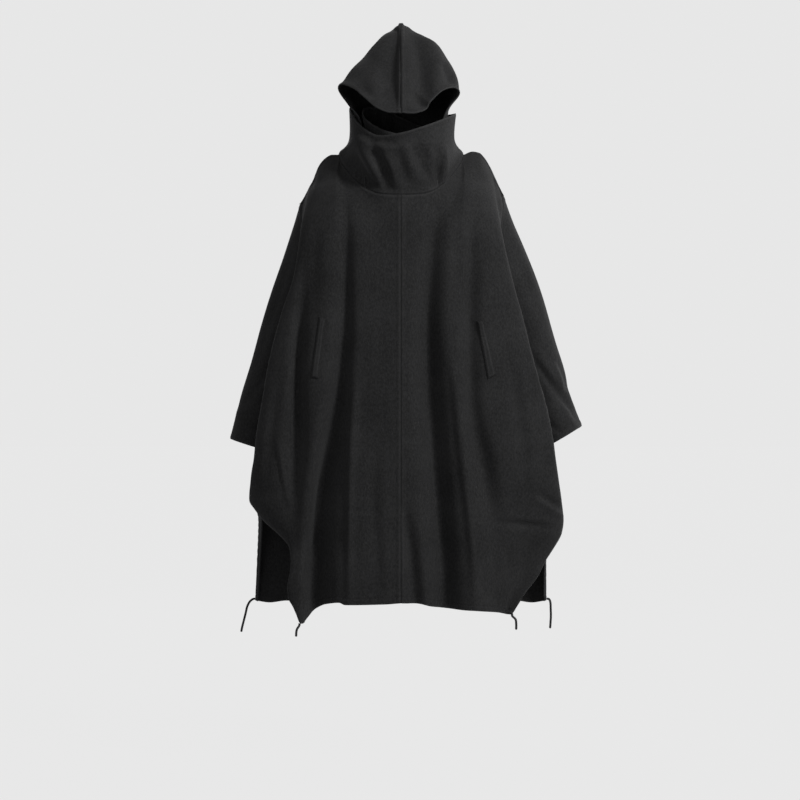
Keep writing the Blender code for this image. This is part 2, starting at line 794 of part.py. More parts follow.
def hood_half(side, neck_row):
    """One half of the hood, from its neck edge up to the seam over the head."""
    source = HOOD[side]
    columns = len(neck_row) - 1
    parts = ("face", "cheek", "crown", "nape", "back")
    net = []
    for k in range(len(source["way"])):
        row = [
            (side * source[p + "_x"][k] if p != "back" else 0.0, source[p + "_y"][k], source[p + "_z"][k])
            for p in parts
        ]
        net.append(spline(row, np.linspace(0, len(parts) - 1, columns + 1)))
    ways = np.concatenate([[0.0], source["way"]])
    net = np.array([neck_row] + net)
    rows = np.linspace(0, 1, HOOD_ROWS + 1)
    places = spline(net, np.interp(rows, ways, np.arange(len(ways))))
    near_top = (HOOD_ROWS * (1 - rows) / 1.5)[:, None] ** 2
    near_back = ((columns - np.arange(columns + 1)) / (1.5 * HOOD_SPLIT))[None, :] ** 2
    places[..., 0] *= 1 + CROWN_ROUND * np.exp(-near_top - near_back)
    return places


def ring_rows(source, neck_row, rows):
    """A collar: its neck edge, its half height and its top edge, with rows between them."""
    closed = {c: np.append(v, v[0]) for c, v in source.items()}
    closed["angle"] = np.append(source["angle"], 360.0)
    angle = np.arange(RING) * 360.0 / RING
    levels = [neck_row]
    for level in ("mid", "top"):
        net = np.stack([closed[level + axis] for axis in ("_x", "_y", "_z")], -1)
        wrapped = np.concatenate([net[-3:-1], net, net[1:3]])
        levels.append(spline(wrapped, angle / 30.0 + 2))
    return spline(np.array(levels), np.linspace(0, 2, rows + 1))


def cowl_rows(neck_row):
    """The outer collar, with its folds pressed in towards the neck."""
    places = ring_rows(COWL, neck_row, COWL_ROWS)
    front = places[..., 1] < -30
    press = sum(
        pleat_depth({name: pleat}, places[..., 0], places[..., 2]) for name, pleat in COWL_PLEATS.items()
    )
    rise = np.linspace(0, 1, COWL_ROWS + 1)[:, None]
    press = np.where(front, press, 0.0) * np.sin(np.clip(rise * 1.15, 0, 1) * math.pi) ** 0.5
    inward = -places * np.array([1, 1, 0])
    inward /= np.linalg.norm(inward, axis=-1, keepdims=True)
    return places + inward * press[..., None]


def unit(vectors):
    """Vectors of length one."""
    return vectors / np.maximum(np.linalg.norm(vectors, axis=-1, keepdims=True), 1e-9)


def steps_of(places, axis, closed=False):
    """The steps before and after each place, along an axis of a grid."""
    after = np.roll(places, -1, axis) - places
    before = np.roll(after, 1, axis)
    if not closed:
        ends = (slice(None),) * axis
        after[ends + (-1,)] = before[ends + (-1,)]
        before[ends + (0,)] = after[ends + (0,)]
    return before, after


def normals(places, closed, sign):
    """The outward direction at each place of a grid: the mean of its four corners there."""
    downs, acrosses = steps_of(places, 0), steps_of(places, 1, closed)
    return unit(sum(unit(np.cross(down, across)) for down in downs for across in acrosses) * sign)


class Cloth:
    """One piece of cloth: a grid of places on its outer face, and the way out at each."""

    def __init__(self, name, places, sign, closed=False):
        self.name, self.places, self.closed, self.sign = name, places, closed, sign
        self.out = normals(places, closed, sign)


NEIGHBOURS = [(down, across) for down in (-1, 0, 1) for across in (-1, 0, 1) if down or across]


def into(piece, i, j, way):
    """The direction from a place on a seam into the piece, square to the seam's run."""
    rows, cols = piece.places.shape[:2]
    found, clear = np.zeros(3), 0.0
    for down, across in NEIGHBOURS:
        p, q = i + down, (j + across) % cols if piece.closed else j + across
        if 0 <= p < rows and 0 <= q < cols:
            step = piece.places[p, q] - piece.places[i, j]
            square = step - np.dot(step, way) * way
            length = np.linalg.norm(square)
            if length / np.linalg.norm(step) > clear:
                found, clear = square / length, length / np.linalg.norm(step)
    return found


def sew(stations, ring=False):
    """Makes pieces meet at a seam: one shared direction, and a small gap across it.

    A station is the places of the first pieces and those of the second that meet there: each is
    a piece, a row and a column.
    """
    here = np.array([first[0][0].places[first[0][1], first[0][2]] for first, second in stations])
    ways = np.roll(here, -1, 0) - np.roll(here, 1, 0) if ring else np.gradient(here, axis=0)
    moves = []
    for (first, second), way in zip(stations, ways):
        way = unit(way)
        faces = [unit(sum(piece.out[i, j] for piece, i, j in group)) for group in (first, second)]
        one, other = (unit(sum(into(*member, way) for member in group)) for group in (first, second))
        out, bend = faces[0] + faces[1], one + other
        out = out + bend * np.sign(np.dot(out, bend))
        out = unit(out - np.dot(out, way) * way)
        across = np.cross(out, way)
        if np.dot(across, other) < np.dot(across, one):
            across = -across
        reach = max(MITRE_LEAST, abs(np.dot(across, one - other)) / 2)
        moves.append((out / reach, across))
    for (first, second), (out, across) in zip(stations, moves):
        for group, sign in ((first, -1), (second, 1)):
            for piece, i, j in group:
                piece.places[i, j] = piece.places[i, j] + sign * across * GAP / 2
                piece.out[i, j] = out


def straighten(piece, row, columns, step):
    """Lays the places between every few columns on straight lines, as the next piece has them."""
    for first in columns:
        for k in range(1, abs(step)):
            part = k / abs(step)
            between = first + (k if step > 0 else -k)
            for grid in (piece.places, piece.out):
                grid[row, between] = (1 - part) * grid[row, first] + part * grid[row, first + step]


def new_material(name, colour, roughness, sheen):
    """A plain cloth material."""
    material = bpy.data.materials.new(name)
    material.use_nodes = True
    shader = material.node_tree.nodes["Principled BSDF"]
    shader.inputs["Base Color"].default_value = colour
    shader.inputs["Roughness"].default_value = roughness
    shader.inputs["Metallic"].default_value = 0.0
    shader.inputs["Sheen Weight"].default_value = sheen
    return material


def finish(obj, collection, colour, roughness, sheen):
    """Puts an object in the coat's collection, with a material of its own."""
    collection.objects.link(obj)
    obj.data.materials.append(new_material(obj.name, colour, roughness, sheen))
    return obj


def halves_of(grid, i, j, k):
    """The two triangles between rows i and i + 1 and columns j and k.

    They are cut along the shorter way, but at a corner of the grid from its tip.
    """
    a, b, c, d = (i, j), (i, k), (i + 1, k), (i + 1, j)
    rows, cols = grid.shape[:2]
    tips = [place for place in (a, b, c, d) if place[0] in (0, rows - 1) and place[1] in (0, cols - 1)]
    across = np.linalg.norm(grid[b] - grid[d]) < np.linalg.norm(grid[a] - grid[c])
    if tips[0] in (b, d) if tips else across:
        return (a, b, d), (b, c, d)
    return (a, b, c), (a, c, d)


def cloth_wall(piece, collection, wall=WALL):
    """The closed wall of one piece: its outer face, its inner face and its edges.

    Both faces are cut into triangles along the same lines, and an edge from its lower corner, so
    that the wall never runs through itself or through the piece sewn to it.
    """
    rows, cols = piece.places.shape[:2]
    bm = bmesh.new()
    faces = []
    for grid in (piece.places, piece.places - wall * piece.out):
        faces.append([[bm.verts.new(place * MM) for place in row] for row in grid])
    outer, inner = faces
    last = cols if piece.closed else cols - 1

    def add(corners, outward):
        bm.faces.new(corners if outward == (piece.sign < 0) else corners[::-1])

    def rim(i, j, p, q, outward):
        a, b, c, d = outer[i][j], inner[i][j], inner[p][q], outer[p][q]
        low = (a, b, c), (a, c, d)
        high = (a, b, d), (b, c, d)
        for corners in low if piece.places[i, j][2] < piece.places[p, q][2] else high:
            add(corners, outward)

    for j in range(last):
        k = (j + 1) % cols
        for i in range(rows - 1):
            for corners in halves_of(piece.places, i, j, k):
                add([outer[p][q] for p, q in corners], True)
                add([inner[p][q] for p, q in corners], False)
        rim(0, j, 0, k, True)
        rim(rows - 1, j, rows - 1, k, False)
    if not piece.closed:
        for i in range(rows - 1):
            rim(i, 0, i + 1, 0, False)
            rim(i, cols - 1, i + 1, cols - 1, True)
    mesh = bpy.data.meshes.new(piece.name)
    bm.to_mesh(mesh)
    bm.free()
    mesh.shade_smooth()
    obj = bpy.data.objects.new(piece.name, mesh)
    return finish(obj, collection, CHARCOAL, 0.9, 0.3)


def welt(side, front, collection):
    """A pocket's welt, laid on the front panel's own faces and lifted clear of them."""
    corners = {name: np.array(place, float) for name, place in WELT[side].items()}
    across = np.linspace(0, 1, WELT_COLS + 1)[None, :, None]
    down = np.linspace(0, 1, WELT_ROWS + 1)[:, None, None]
    top = corners["in_top"] * (1 - across) + corners["out_top"] * across
    low = corners["in_low"] * (1 - across) + corners["out_low"] * across
    seen = top * (1 - down) + low * down
    faces = front_faces(front)
    reach_x = (corners["out_top"] - corners["in_top"])[0] / WELT_COLS / 2
    reach_z = (corners["in_top"] - corners["in_low"])[1] / WELT_ROWS / 2
    y = [
        [
            min(
                face_depth(faces, side * (x + p * reach_x), z + q * reach_z)
                for p in (-1, 0, 1)
                for q in (-1, 0, 1)
            )
            for x, z in row
        ]
        for row in seen
    ]
    piece = Cloth("welt_" + SIDE_NAME[side], np.stack([side * seen[..., 0], y, seen[..., 1]], -1), side)
    piece.places = piece.places + piece.out * (WELT_LIFT[side] + WELT_WALL)
    return cloth_wall(piece, collection, WELT_WALL)


def front_faces(front):
    """The triangles of a front's outer face, but for the part behind its fold."""
    grid = front.places
    rows, cols = grid.shape[:2]
    cells = [(i, j) for i in range(rows - 1) for j in range(cols - 1 - FRONT_RETURN)]
    return np.array([[grid[p] for p in half] for i, j in cells for half in halves_of(grid, i, j, j + 1)])


def face_depth(faces, x, z):
    """How far forward the outer face stands at a place seen from the front."""
    a, b, c = faces[:, 0], faces[:, 1] - faces[:, 0], faces[:, 2] - faces[:, 0]
    area = b[:, 0] * c[:, 2] - c[:, 0] * b[:, 2]
    area = np.where(np.abs(area) < 1e-9, 1e-9, area)
    off_x, off_z = x - a[:, 0], z - a[:, 2]
    p = (off_x * c[:, 2] - c[:, 0] * off_z) / area
    q = (b[:, 0] * off_z - off_x * b[:, 2]) / area
    inside = (p >= -1e-6) & (q >= -1e-6) & (p + q <= 1 + 1e-6)
    return (a[:, 1] + p * b[:, 1] + q * c[:, 1])[inside].min()


def cord(name, route, collection):
    """A drawcord: a round tube along a smooth curve through its route."""
    coarse = spline(route, np.linspace(0, len(route) - 1, 400))
    run = np.concatenate([[0], np.cumsum(np.linalg.norm(np.diff(coarse, axis=0), axis=1))])
    count = max(4, round(run[-1] / (CORD_STEP * CORD_ACROSS))) + 1
    at = np.linspace(0, run[-1], count)
    places = np.stack([np.interp(at, run, coarse[:, k]) for k in range(3)], -1)
    curve = bpy.data.curves.new(name, "CURVE")
    curve.dimensions = "3D"
    curve.bevel_depth = CORD_ACROSS / 2 * MM
    curve.bevel_resolution = 2
    curve.use_fill_caps = True
    line = curve.splines.new("POLY")
    line.points.add(count - 1)
    for point, place in zip(line.points, places):
        point.co = (*(place * MM), 1.0)
    return finish(bpy.data.objects.new(name, curve), collection, CORD_BLACK, 0.6, 0.0)


def make_body():
    """The two fronts and the back, as grids."""
    fronts = {
        side: Cloth("front_" + SIDE_NAME[side], body_panel(side, FRONT_COLS, FRONT_RETURN, 1), side)
        for side in (RIGHT, LEFT)
    }
    halves = {side: body_panel(side, BACK_COLS, BACK_RETURN, -1) for side in (RIGHT, LEFT)}
    back = Cloth("back", np.concatenate([halves[RIGHT][:, :0:-1], halves[LEFT]], 1), -1)
    return fronts, back


def sew_body(fronts, back, sleeves, cowl):
    """Joins the fronts, the back, the sleeves and the neck, seam by seam."""
    right, left = fronts[RIGHT], fronts[LEFT]
    sew([([(right, i, 0)], [(left, i, 0)]) for i in range(BODY_ROWS + 1)])
    for side in (RIGHT, LEFT):
        front, arm = fronts[side], sleeves[side]
        edge = BACK_COLS + side * BACK_COLS
        shoulder = [
            (NECK_STEPS + k * FRONT_SPLIT, BACK_COLS + side * (NECK_STEPS + k * BACK_SPLIT))
            for k in range(SHOULDER_STEPS + 1)
        ]
        sew([([(front, 0, j)], [(back, 0, k)]) for j, k in shoulder])
        seam_rows = range(ARMHOLE_ROWS, ARMHOLE_ROWS + SIDE_ROWS + 1)
        sew([([(front, i, FRONT_COLS)], [(back, i, edge)]) for i in seam_rows])
        armhole_ring = []
        for k in range(2 * ARMHOLE_ROWS):
            body = []
            if k <= ARMHOLE_ROWS:
                body.append((front, k, FRONT_COLS))
            if k == 0 or k >= ARMHOLE_ROWS:
                body.append((back, (2 * ARMHOLE_ROWS - k) % (2 * ARMHOLE_ROWS), edge))
            armhole_ring.append((body, [(arm, 0, k)]))
        sew(armhole_ring, ring=True)
    neck = []
    for c in range(RING):
        body = []
        if c <= NECK_STEPS:
            body.append((left, 0, c))
        if c == 0 or c >= RING - NECK_STEPS:
            body.append((right, 0, (RING - c) % RING))
        if NECK_STEPS <= c <= RING - NECK_STEPS:
            body.append((back, 0, BACK_COLS + 2 * NECK_STEPS - c))
        neck.append((body, [(cowl, 0, c)]))
    sew(neck, ring=True)
    for side in (RIGHT, LEFT):
        first = [NECK_STEPS + k * FRONT_SPLIT for k in range(SHOULDER_STEPS)]
        straighten(fronts[side], 0, first, FRONT_SPLIT)
        first = [BACK_COLS + side * (NECK_STEPS + k * BACK_SPLIT) for k in range(SHOULDER_STEPS)]
        straighten(back, 0, first, side * BACK_SPLIT)


def make_hood(cowl):
    """The two halves of the hood, sewn inside the outer collar and to each other."""
    inside = cowl.places[0] - cowl.out[0] * (WALL + GAP)
    first = HOOD_FROM_DEG * RING // 360
    halves = {}
    for side in (RIGHT, LEFT):
        stations = [(side * c) % RING for c in range(first, RING // 2 + 1)]
        main = inside[stations]
        where = np.linspace(0, len(main) - 1, (len(main) - 1) * HOOD_SPLIT + 1)
        row = np.stack([np.interp(where, np.arange(len(main)), main[:, k]) for k in range(3)], -1)
        piece = Cloth("hood_" + SIDE_NAME[side], hood_half(side, row), -side)
        out = cowl.out[0][stations]
        piece.out[0] = np.stack([np.interp(where, np.arange(len(main)), out[:, k]) for k in range(3)], -1)
        halves[side] = piece
    last = halves[LEFT].places.shape[1] - 1
    right, left = halves[RIGHT], halves[LEFT]
    sew([([(right, i, last)], [(left, i, last)]) for i in range(HOOD_ROWS)])
    sew([([(right, HOOD_ROWS, j)], [(left, HOOD_ROWS, j)]) for j in range(last)])
    for side, piece in halves.items():
        piece.places[-1, -1, 0] = side * GAP / 2
        piece.out[-1, -1] = (piece.out[-2, -1] + piece.out[-1, -2]) / 2
    return halves


def make_coat():
    """Builds every piece of the coat."""
    for obj in list(bpy.data.objects):
        bpy.data.objects.remove(obj, do_unlink=True)
    coat = bpy.data.collections.new("wool_coat")
    bpy.context.scene.collection.children.link(coat)
    fronts, back = make_body()
    sleeves = {
        side: Cloth("sleeve_" + SIDE_NAME[side], sleeve(side), -side, closed=True) for side in (RIGHT, LEFT)
    }
    ring = neck_ring(np.arange(RING) * 360.0 / RING)
    cowl = Cloth("collar_outer", cowl_rows(ring), -1, closed=True)
    sew_body(fronts, back, sleeves, cowl)
    hood = make_hood(cowl)
    inside = cowl.places[0] - cowl.out[0] * 2 * (WALL + GAP)
    collar = Cloth("collar_inner", ring_rows(COLLAR, inside, COLLAR_ROWS), -1, closed=True)
    for piece in (*fronts.values(), back, *sleeves.values(), *hood.values(), cowl, collar):
        cloth_wall(piece, coat)
    for side in (RIGHT, LEFT):
        welt(side, fronts[side], coat)
    for name, route in CORD_ROUTES.items():
        cord(name, route, coat)


make_coat()
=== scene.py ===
# %% [markdown]
# # A hooded wool cape coat, hanging as it is worn
#
# The coat is cut wide in thick felted wool: two fronts, a back, two sleeves set into deep
# armholes, a hood in two halves, an outer collar that stands round the chin, an inner collar,
# two pocket welts and four drawcords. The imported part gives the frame: its pieces stay where
# they are, and this script dresses each with a finer piece of cloth of the same shape.

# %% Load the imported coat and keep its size
import math

import bmesh
import bpy
import numpy as np
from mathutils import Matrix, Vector
from mathutils.bvhtree import BVHTree


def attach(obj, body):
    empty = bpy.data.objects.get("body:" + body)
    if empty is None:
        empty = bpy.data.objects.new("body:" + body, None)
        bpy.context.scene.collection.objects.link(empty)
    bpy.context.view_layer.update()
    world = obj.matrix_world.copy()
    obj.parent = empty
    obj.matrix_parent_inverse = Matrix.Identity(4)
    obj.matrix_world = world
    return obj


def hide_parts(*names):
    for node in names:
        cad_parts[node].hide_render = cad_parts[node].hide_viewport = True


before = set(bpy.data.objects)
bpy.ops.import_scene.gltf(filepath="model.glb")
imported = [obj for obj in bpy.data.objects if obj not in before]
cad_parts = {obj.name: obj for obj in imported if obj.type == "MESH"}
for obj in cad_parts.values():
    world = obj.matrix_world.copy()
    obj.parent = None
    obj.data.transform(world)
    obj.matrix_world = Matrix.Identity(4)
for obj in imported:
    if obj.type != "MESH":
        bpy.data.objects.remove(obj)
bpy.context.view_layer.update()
print("packed nodes:", ", ".join(sorted(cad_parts)))

# %% [markdown]
# ## The camera
#
# A long lens six metres away, level with the middle of the coat, gives the flat look of a
# catalogue picture: near folds are hardly larger than far ones. A short lens close by would make
# the chest bulge, so the distance is set first and the lens follows from it.

# %% Stand the camera in front of the coat
camera_lens = bpy.data.cameras.new("catalogue_camera")
camera_lens.lens, camera_lens.sensor_width = 108.0, 36.0
camera = bpy.data.objects.new("catalogue_camera", camera_lens)
camera.location = (-0.0025, -6.0, -0.6075)
camera.rotation_euler = (math.radians(90.0), 0.0, 0.0)
bpy.context.scene.collection.objects.link(camera)
bpy.context.scene.camera = camera
print("camera at", tuple(round(c, 4) for c in camera.location))

# %% [markdown]
# ## Sums with sockets
#
# A finish is easier to read as sums than as a net of boxes. The small class below wraps one
# socket of a material. Adding or multiplying two of them adds a Math node, and every other kind
# of node comes from its one method, which sets the node up first and then fills its sockets.


# %% A socket that can be added and multiplied
class Shade:
    """One socket of a material's nodes, used in sums as a number is."""

    def __init__(self, tree, socket=None):
        self.tree, self.socket = tree, socket

    def node(self, kind, settings=(), inputs=(), output=0):
        """Adds any node: its settings first, then the values or links of its sockets."""
        node = self.tree.nodes.new("ShaderNode" + kind)
        for key, value in dict(settings).items():
            setattr(node, key, value)
        for key, value in dict(inputs).items():
            if isinstance(value, Shade):
                self.tree.links.new(value.socket, node.inputs[key])
            else:
                node.inputs[key].default_value = value
        return Shade(self.tree, node.outputs[output])

    def sum(self, operation, first, second):
        return self.node("Math", {"operation": operation}, {0: first, 1: second})

    def __add__(self, other):
        return self.sum("ADD", self, other)

    def __sub__(self, other):
        return self.sum("SUBTRACT", self, other)

    def __rsub__(self, other):
        return self.sum("SUBTRACT", other, self)

    def __mul__(self, other):
        return self.sum("MULTIPLY", self, other)

    __radd__ = __add__

    def between(self, low, high):
        """0 below low, 1 above high, and a straight way between them."""
        inputs = {"Value": self, "From Min": low, "From Max": high}
        return self.node("MapRange", {"clamp": True}, inputs)

    def noise(self, size, detail=3.0, rough=0.55, stretch=(1.0, 1.0, 1.0)):
        """Soft noise over these coordinates, with spots of a size in metres."""
        spread = self.node("Mapping", {}, {"Vector": self, "Scale": stretch})
        inputs = {"Vector": spread, "Scale": 1.0 / size, "Detail": detail, "Roughness": rough}
        return self.node("TexNoise", {}, inputs)

    def tint(self, first, second):
        """A colour between two others, by this value."""
        ends = [end if isinstance(end, Shade) else (*end, 1.0) for end in (first, second)]
        return self.node("Mix", {"data_type": "RGBA"}, {0: self, 6: ends[0], 7: ends[1]}, output=2)


def new_finish(name, **fixed):
    """A material with its fixed values set on the shader, and the start of its sums."""
    material = bpy.data.materials.new(name)
    material.use_nodes = True
    shader = material.node_tree.nodes["Principled BSDF"]
    for key, value in fixed.items():
        shader.inputs[key.replace("_", " ").title().replace("Ior", "IOR")].default_value = value
    start = Shade(material.node_tree)
    return material, shader, start


def feed(shader, **sockets):
    """Links sums to the shader's sockets."""
    for key, shade in sockets.items():
        shade.tree.links.new(shade.socket, shader.inputs[key.replace("_", " ").title()])


# %% [markdown]
# ## The finish of the drawcords
#
# A drawcord is braided from black polyester thread. Its strands shine a little more than wool
# does, and the hollows between them look darker. The strands themselves are in the mesh, so the
# material only adds the threads that lie along each strand.

# %% Braided cord finish
cord_finish, cord_shader, start = new_finish("black_braid", roughness=0.55, sheen_weight=0.15)
here = start.node("TexCoord", output="Object")
threads = here.noise(0.0006, 2.0, 0.6, (1.0, 1.0, 0.35))
patches = here.noise(0.02)
cord_tone = (threads * 0.7 + patches * 0.3).between(0.3, 0.7)
feed(
    cord_shader,
    base_color=cord_tone.tint((0.006, 0.006, 0.0065), (0.019, 0.019, 0.020)),
    roughness=0.5 + threads * 0.2,
    normal=threads.node("Bump", {}, {"Strength": 0.6, "Distance": 0.0002, "Height": threads}),
)
print("finish", cord_finish.name)

# %% [markdown]
# ## The drawcords
#
# Four cords leave the channel of the hem at its corners and hang down under their own weight. A
# cord could be a curve with a bevel, but its braid would then only be painted. Here each is a
# tube of mesh whose radius rises and falls along two crossing spirals, as strands do.

# %% Small tables, and where each cord runs
MM = 0.001
RIGHT, LEFT = -1, 1
SIDE_NAME = {RIGHT: "right", LEFT: "left"}
CORD_ACROSS, TIP_LONG = 5.4, 2.6
STRANDS, STRAND_HIGH, STRAND_TWIST = 4, 0.3, 1.1
ROUTE_STOPS, CORD_RINGS, CORD_SIDES, PATH_STOPS = 400, 240, 24, 24


def table(text):
    """A small table: its first line names the columns, and each column is kept under its name."""
    lines = [line.split() for line in text.strip().splitlines()]
    return dict(zip(lines[0], np.array(lines[1:], float).T))


CORD_ROUTES = {
    "drawcord_back_right": table("""
    x y z
    -371.5 104.5 -1112.5
    -378 103 -1114.5
    -385 100 -1121
    -391 101 -1133
    -395 101 -1150
    -400 100 -1170
    -404 100 -1186
    -406 100 -1197
    """),
    "drawcord_front_right": table("""
    x y z
    -247 -161.5 -1150.85
    -247.5 -162 -1156
    -252.5 -166 -1164
    -254.5 -166 -1172
    -255 -166 -1183
    """),
    "drawcord_front_left": table("""
    x y z
    271 -142.3 -1130.3
    271.8 -142.8 -1135
    279.5 -146 -1143
    281 -146 -1155
    281 -146 -1168
    """),
    "drawcord_back_left": table("""
    x y z
    370.9 104.5 -1112.5
    377 103.6 -1114.5
    380 101.5 -1123
    380.5 100 -1137
    381 100 -1156
    380 100 -1174
    379 100 -1188
    """),
}


# %% Smooth curves, faces and objects
def between_four(before, a, b, after, t):
    """The smooth curve from a to b that also heeds the places before and after them."""
    return 0.5 * (
        2 * a
        + (b - before) * t
        + (2 * before - 5 * a + 4 * b - after) * t**2
        + (3 * a - before - 3 * b + after) * t**3
    )


def spline(rows, where):
    """A smooth curve through rows of places, read at where, from 0 to the last row."""
    rows = np.asarray(rows, float)
    last = len(rows) - 1
    i = np.clip(np.floor(where).astype(int), 0, last - 1)
    t = (where - i)[..., None] if rows.ndim == 2 else (where - i)[..., None, None]
    before, a, b, after = (rows[np.clip(i + k, 0, last)] for k in (-1, 0, 1, 2))
    at_start, at_end = (np.expand_dims(i == end, tuple(range(1, a.ndim))) for end in (0, last - 1))
    before = np.where(at_start, 2 * a - b, before)
    after = np.where(at_end, 2 * b - a, after)
    return between_four(before, a, b, after, t)


def unit(vectors):
    """Vectors of length one."""
    return vectors / np.maximum(np.linalg.norm(vectors, axis=-1, keepdims=True), 1e-9)


def run_of(line):
    """The distance run along a line of places."""
    return np.concatenate([[0], np.cumsum(np.linalg.norm(np.diff(line, axis=0), axis=1))])


def read_run(at, run, values):
    """Places or directions along a line, read at a distance run."""
    return np.stack([np.interp(at, run, values[:, k]) for k in range(3)], -1)


def even_steps(line, count):
    """The same line with its places at equal distances, and its length."""
    run = run_of(line)
    return read_run(np.linspace(0, run[-1], count), run, line), run[-1]


def grid_faces(rows, cols, closed):
    """The faces of a grid of places, which may be closed from its last column to its first."""
    counts = np.arange(rows - 1), np.arange(cols if closed else cols - 1)
    i, j = (grid.ravel() for grid in np.meshgrid(*counts, indexing="ij"))
    k = (j + 1) % cols
    return np.stack([i * cols + j, i * cols + k, (i + 1) * cols + k, (i + 1) * cols + j], 1)


def new_object(name, places, faces, finish):
    """A mesh in metres from places in millimetres, shaded smooth, that rides on the coat."""
    mesh = bpy.data.meshes.new(name)
    mesh.from_pydata((places * MM).tolist(), [], faces)
    mesh.materials.append(finish)
    mesh.shade_smooth()
    obj = bpy.data.objects.new(name, mesh)
    bpy.context.scene.collection.objects.link(obj)
    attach(obj, "root")
    return obj


# %% Braided tubes
def braided_tube(name, route):
    """A cord: a tube along the route, braided, with a sealed round tip."""
    line, length = even_steps(spline(route, np.linspace(0, len(route) - 1, ROUTE_STOPS)), CORD_RINGS)
    ways = unit(np.gradient(line, axis=0))
    across = unit(np.cross(ways, (0.3, 1.0, 0.1)))
    other = np.cross(ways, across)
    turn = np.linspace(0, 2 * math.pi, CORD_SIDES, endpoint=False)[None, :]
    run = np.linspace(0, length, CORD_RINGS)[:, None]
    spirals = (np.abs(np.sin(STRANDS * turn + way * STRAND_TWIST * run)) for way in (1, -1))
    strands = np.maximum(*spirals)
    tip = np.clip((length - run) / TIP_LONG, 0, 1)
    radius = (CORD_ACROSS / 2 - STRAND_HIGH / 2 + STRAND_HIGH * strands) * np.sqrt(1 - (1 - tip) ** 2 * 0.99)
    ring = across[:, None] * np.cos(turn)[..., None] + other[:, None] * np.sin(turn)[..., None]
    places = (line[:, None] + ring * radius[..., None]).reshape(-1, 3)
    ends = [list(range(CORD_SIDES))[::-1], [(CORD_RINGS - 1) * CORD_SIDES + k for k in range(CORD_SIDES)]]
    faces = grid_faces(CORD_RINGS, CORD_SIDES, True).tolist() + ends
    obj = new_object(name, places, faces, cord_finish)
    path, length = even_steps(line, PATH_STOPS)
    return obj, length


for node, route in CORD_ROUTES.items():
    obj, length = braided_tube("braided_" + node, np.stack([route[axis] for axis in "xyz"], -1))
    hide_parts(node)
    print(obj.name, "is", round(length), "mm long")

# %% [markdown]
# ## Lines of the coat, read smoothly
#
# The shape of worn cloth is easiest to state as a few numbers at each height: how far out the
# fold is, how deep a pleat lies. The helpers below read such small tables along smooth curves
# that never overshoot, so that a pleat stays as deep as its table says.


# %% Smooth reading
def smooth(value, low, high):
    """0 below low, 1 above high, and a soft step between them."""
    t = np.clip((value - low) / (high - low), 0, 1)
    return t * t * (3 - 2 * t)


def through(xs, ys, x):
    """A smooth curve through the rows of a table, with no overshoot, read at x."""
    order = np.argsort(xs)
    xs, ys = xs[order], ys[order]
    step, rise = np.diff(xs), np.diff(ys)
    slope = rise / step
    turn = slope[:-1] * slope[1:]
    both = np.where(turn > 0, slope[:-1] + slope[1:], 1.0)
    inner = np.where(turn > 0, 2 * turn / both, 0.0)
    lean = np.concatenate(([slope[0]], inner, [slope[-1]]))
    x = np.clip(np.asarray(x, float), xs[0], xs[-1])
    i = np.clip(np.searchsorted(xs, x) - 1, 0, len(step) - 1)
    t = (x - xs[i]) / step[i]
    return (
        ys[i] * (1 + 2 * t) * (1 - t) ** 2
        + ys[i + 1] * t * t * (3 - 2 * t)
        + step[i] * lean[i] * t * (1 - t) ** 2
        - step[i] * lean[i + 1] * t * t * (1 - t)
    )


def read(source, key, column, x):
    """One column of a table, read smoothly along its key column."""
    return through(source[key], source[column], x)


# %% [markdown]
# ## Neck, shoulders and armholes
#
# These seams are shared by the pieces on both sides of them, so they are stated once. All sizes
# are in millimetres: the wearer's left is +X, the front faces -Y, and the origin is the middle
# of the base of the neck.

# %% The seams at the top of the body
# The neck seam, from the centre front (0 degrees) round to the centre back
NECK = table("""
angle x y z
0 0 -138 -106
20 48 -131 -103
35 78 -119 -94
50 108 -97 -70
65 131 -68 -44
80 150 -28 -14
90 156 -4 5
120 137 50 24
150 76 85 33
180 0 95 35
""")

# The shoulder seam, from the neck (0) to the tip of the shoulder (1)
SHOULDER = {
    RIGHT: table("""
    way x y z
    0 156 -4 5
    0.12 173 5 6
    0.2 185 8 1
    0.38 203 10 -17
    0.6 220 12 -56
    0.8 238 12 -91
    1 253 12 -119
    """),
    LEFT: table("""
    way x y z
    0 156 -4 5
    0.12 178 5 14
    0.25 196 8 11
    0.38 208 10 0
    0.55 223 10 -24
    0.75 238 12 -56
    1 258 12 -99
    """),
}

# The armhole: its top is the shoulder's tip, its bottom the underarm
ARMHOLE = {
    RIGHT: {"top_x": 253, "top_z": -119, "low_x": 200, "low_z": -440, "y": 12, "deep": 72},
    LEFT: {"top_x": 258, "top_z": -99, "low_x": 205, "low_z": -430, "y": 12, "deep": 72},
}


def neck_ring(angle):
    """A place on the neck seam, from an angle in degrees that may be past the half turn."""
    angle = np.mod(angle, 360.0)
    mirrored = np.where(angle > 180, 360 - angle, angle)
    side = np.where(angle > 180, -1.0, 1.0)
    return np.stack(
        [side * read(NECK, "angle", "x", mirrored)]
        + [read(NECK, "angle", axis, mirrored) for axis in "yz"],
        -1,
    )


def armhole(side, angle):
    """A place on the armhole: 0 is its top, a half turn its bottom, by way of the front."""
    hole = ARMHOLE[side]
    middle_x, middle_z = (hole["top_x"] + hole["low_x"]) / 2, (hole["top_z"] + hole["low_z"]) / 2
    half_x, half_z = (hole["top_x"] - hole["low_x"]) / 2, (hole["top_z"] - hole["low_z"]) / 2
    return np.stack(
        [
            side * (middle_x + half_x * np.cos(angle)),
            hole["y"] - hole["deep"] * np.sin(angle),
            middle_z + half_z * np.cos(angle),
        ],
        -1,
    )


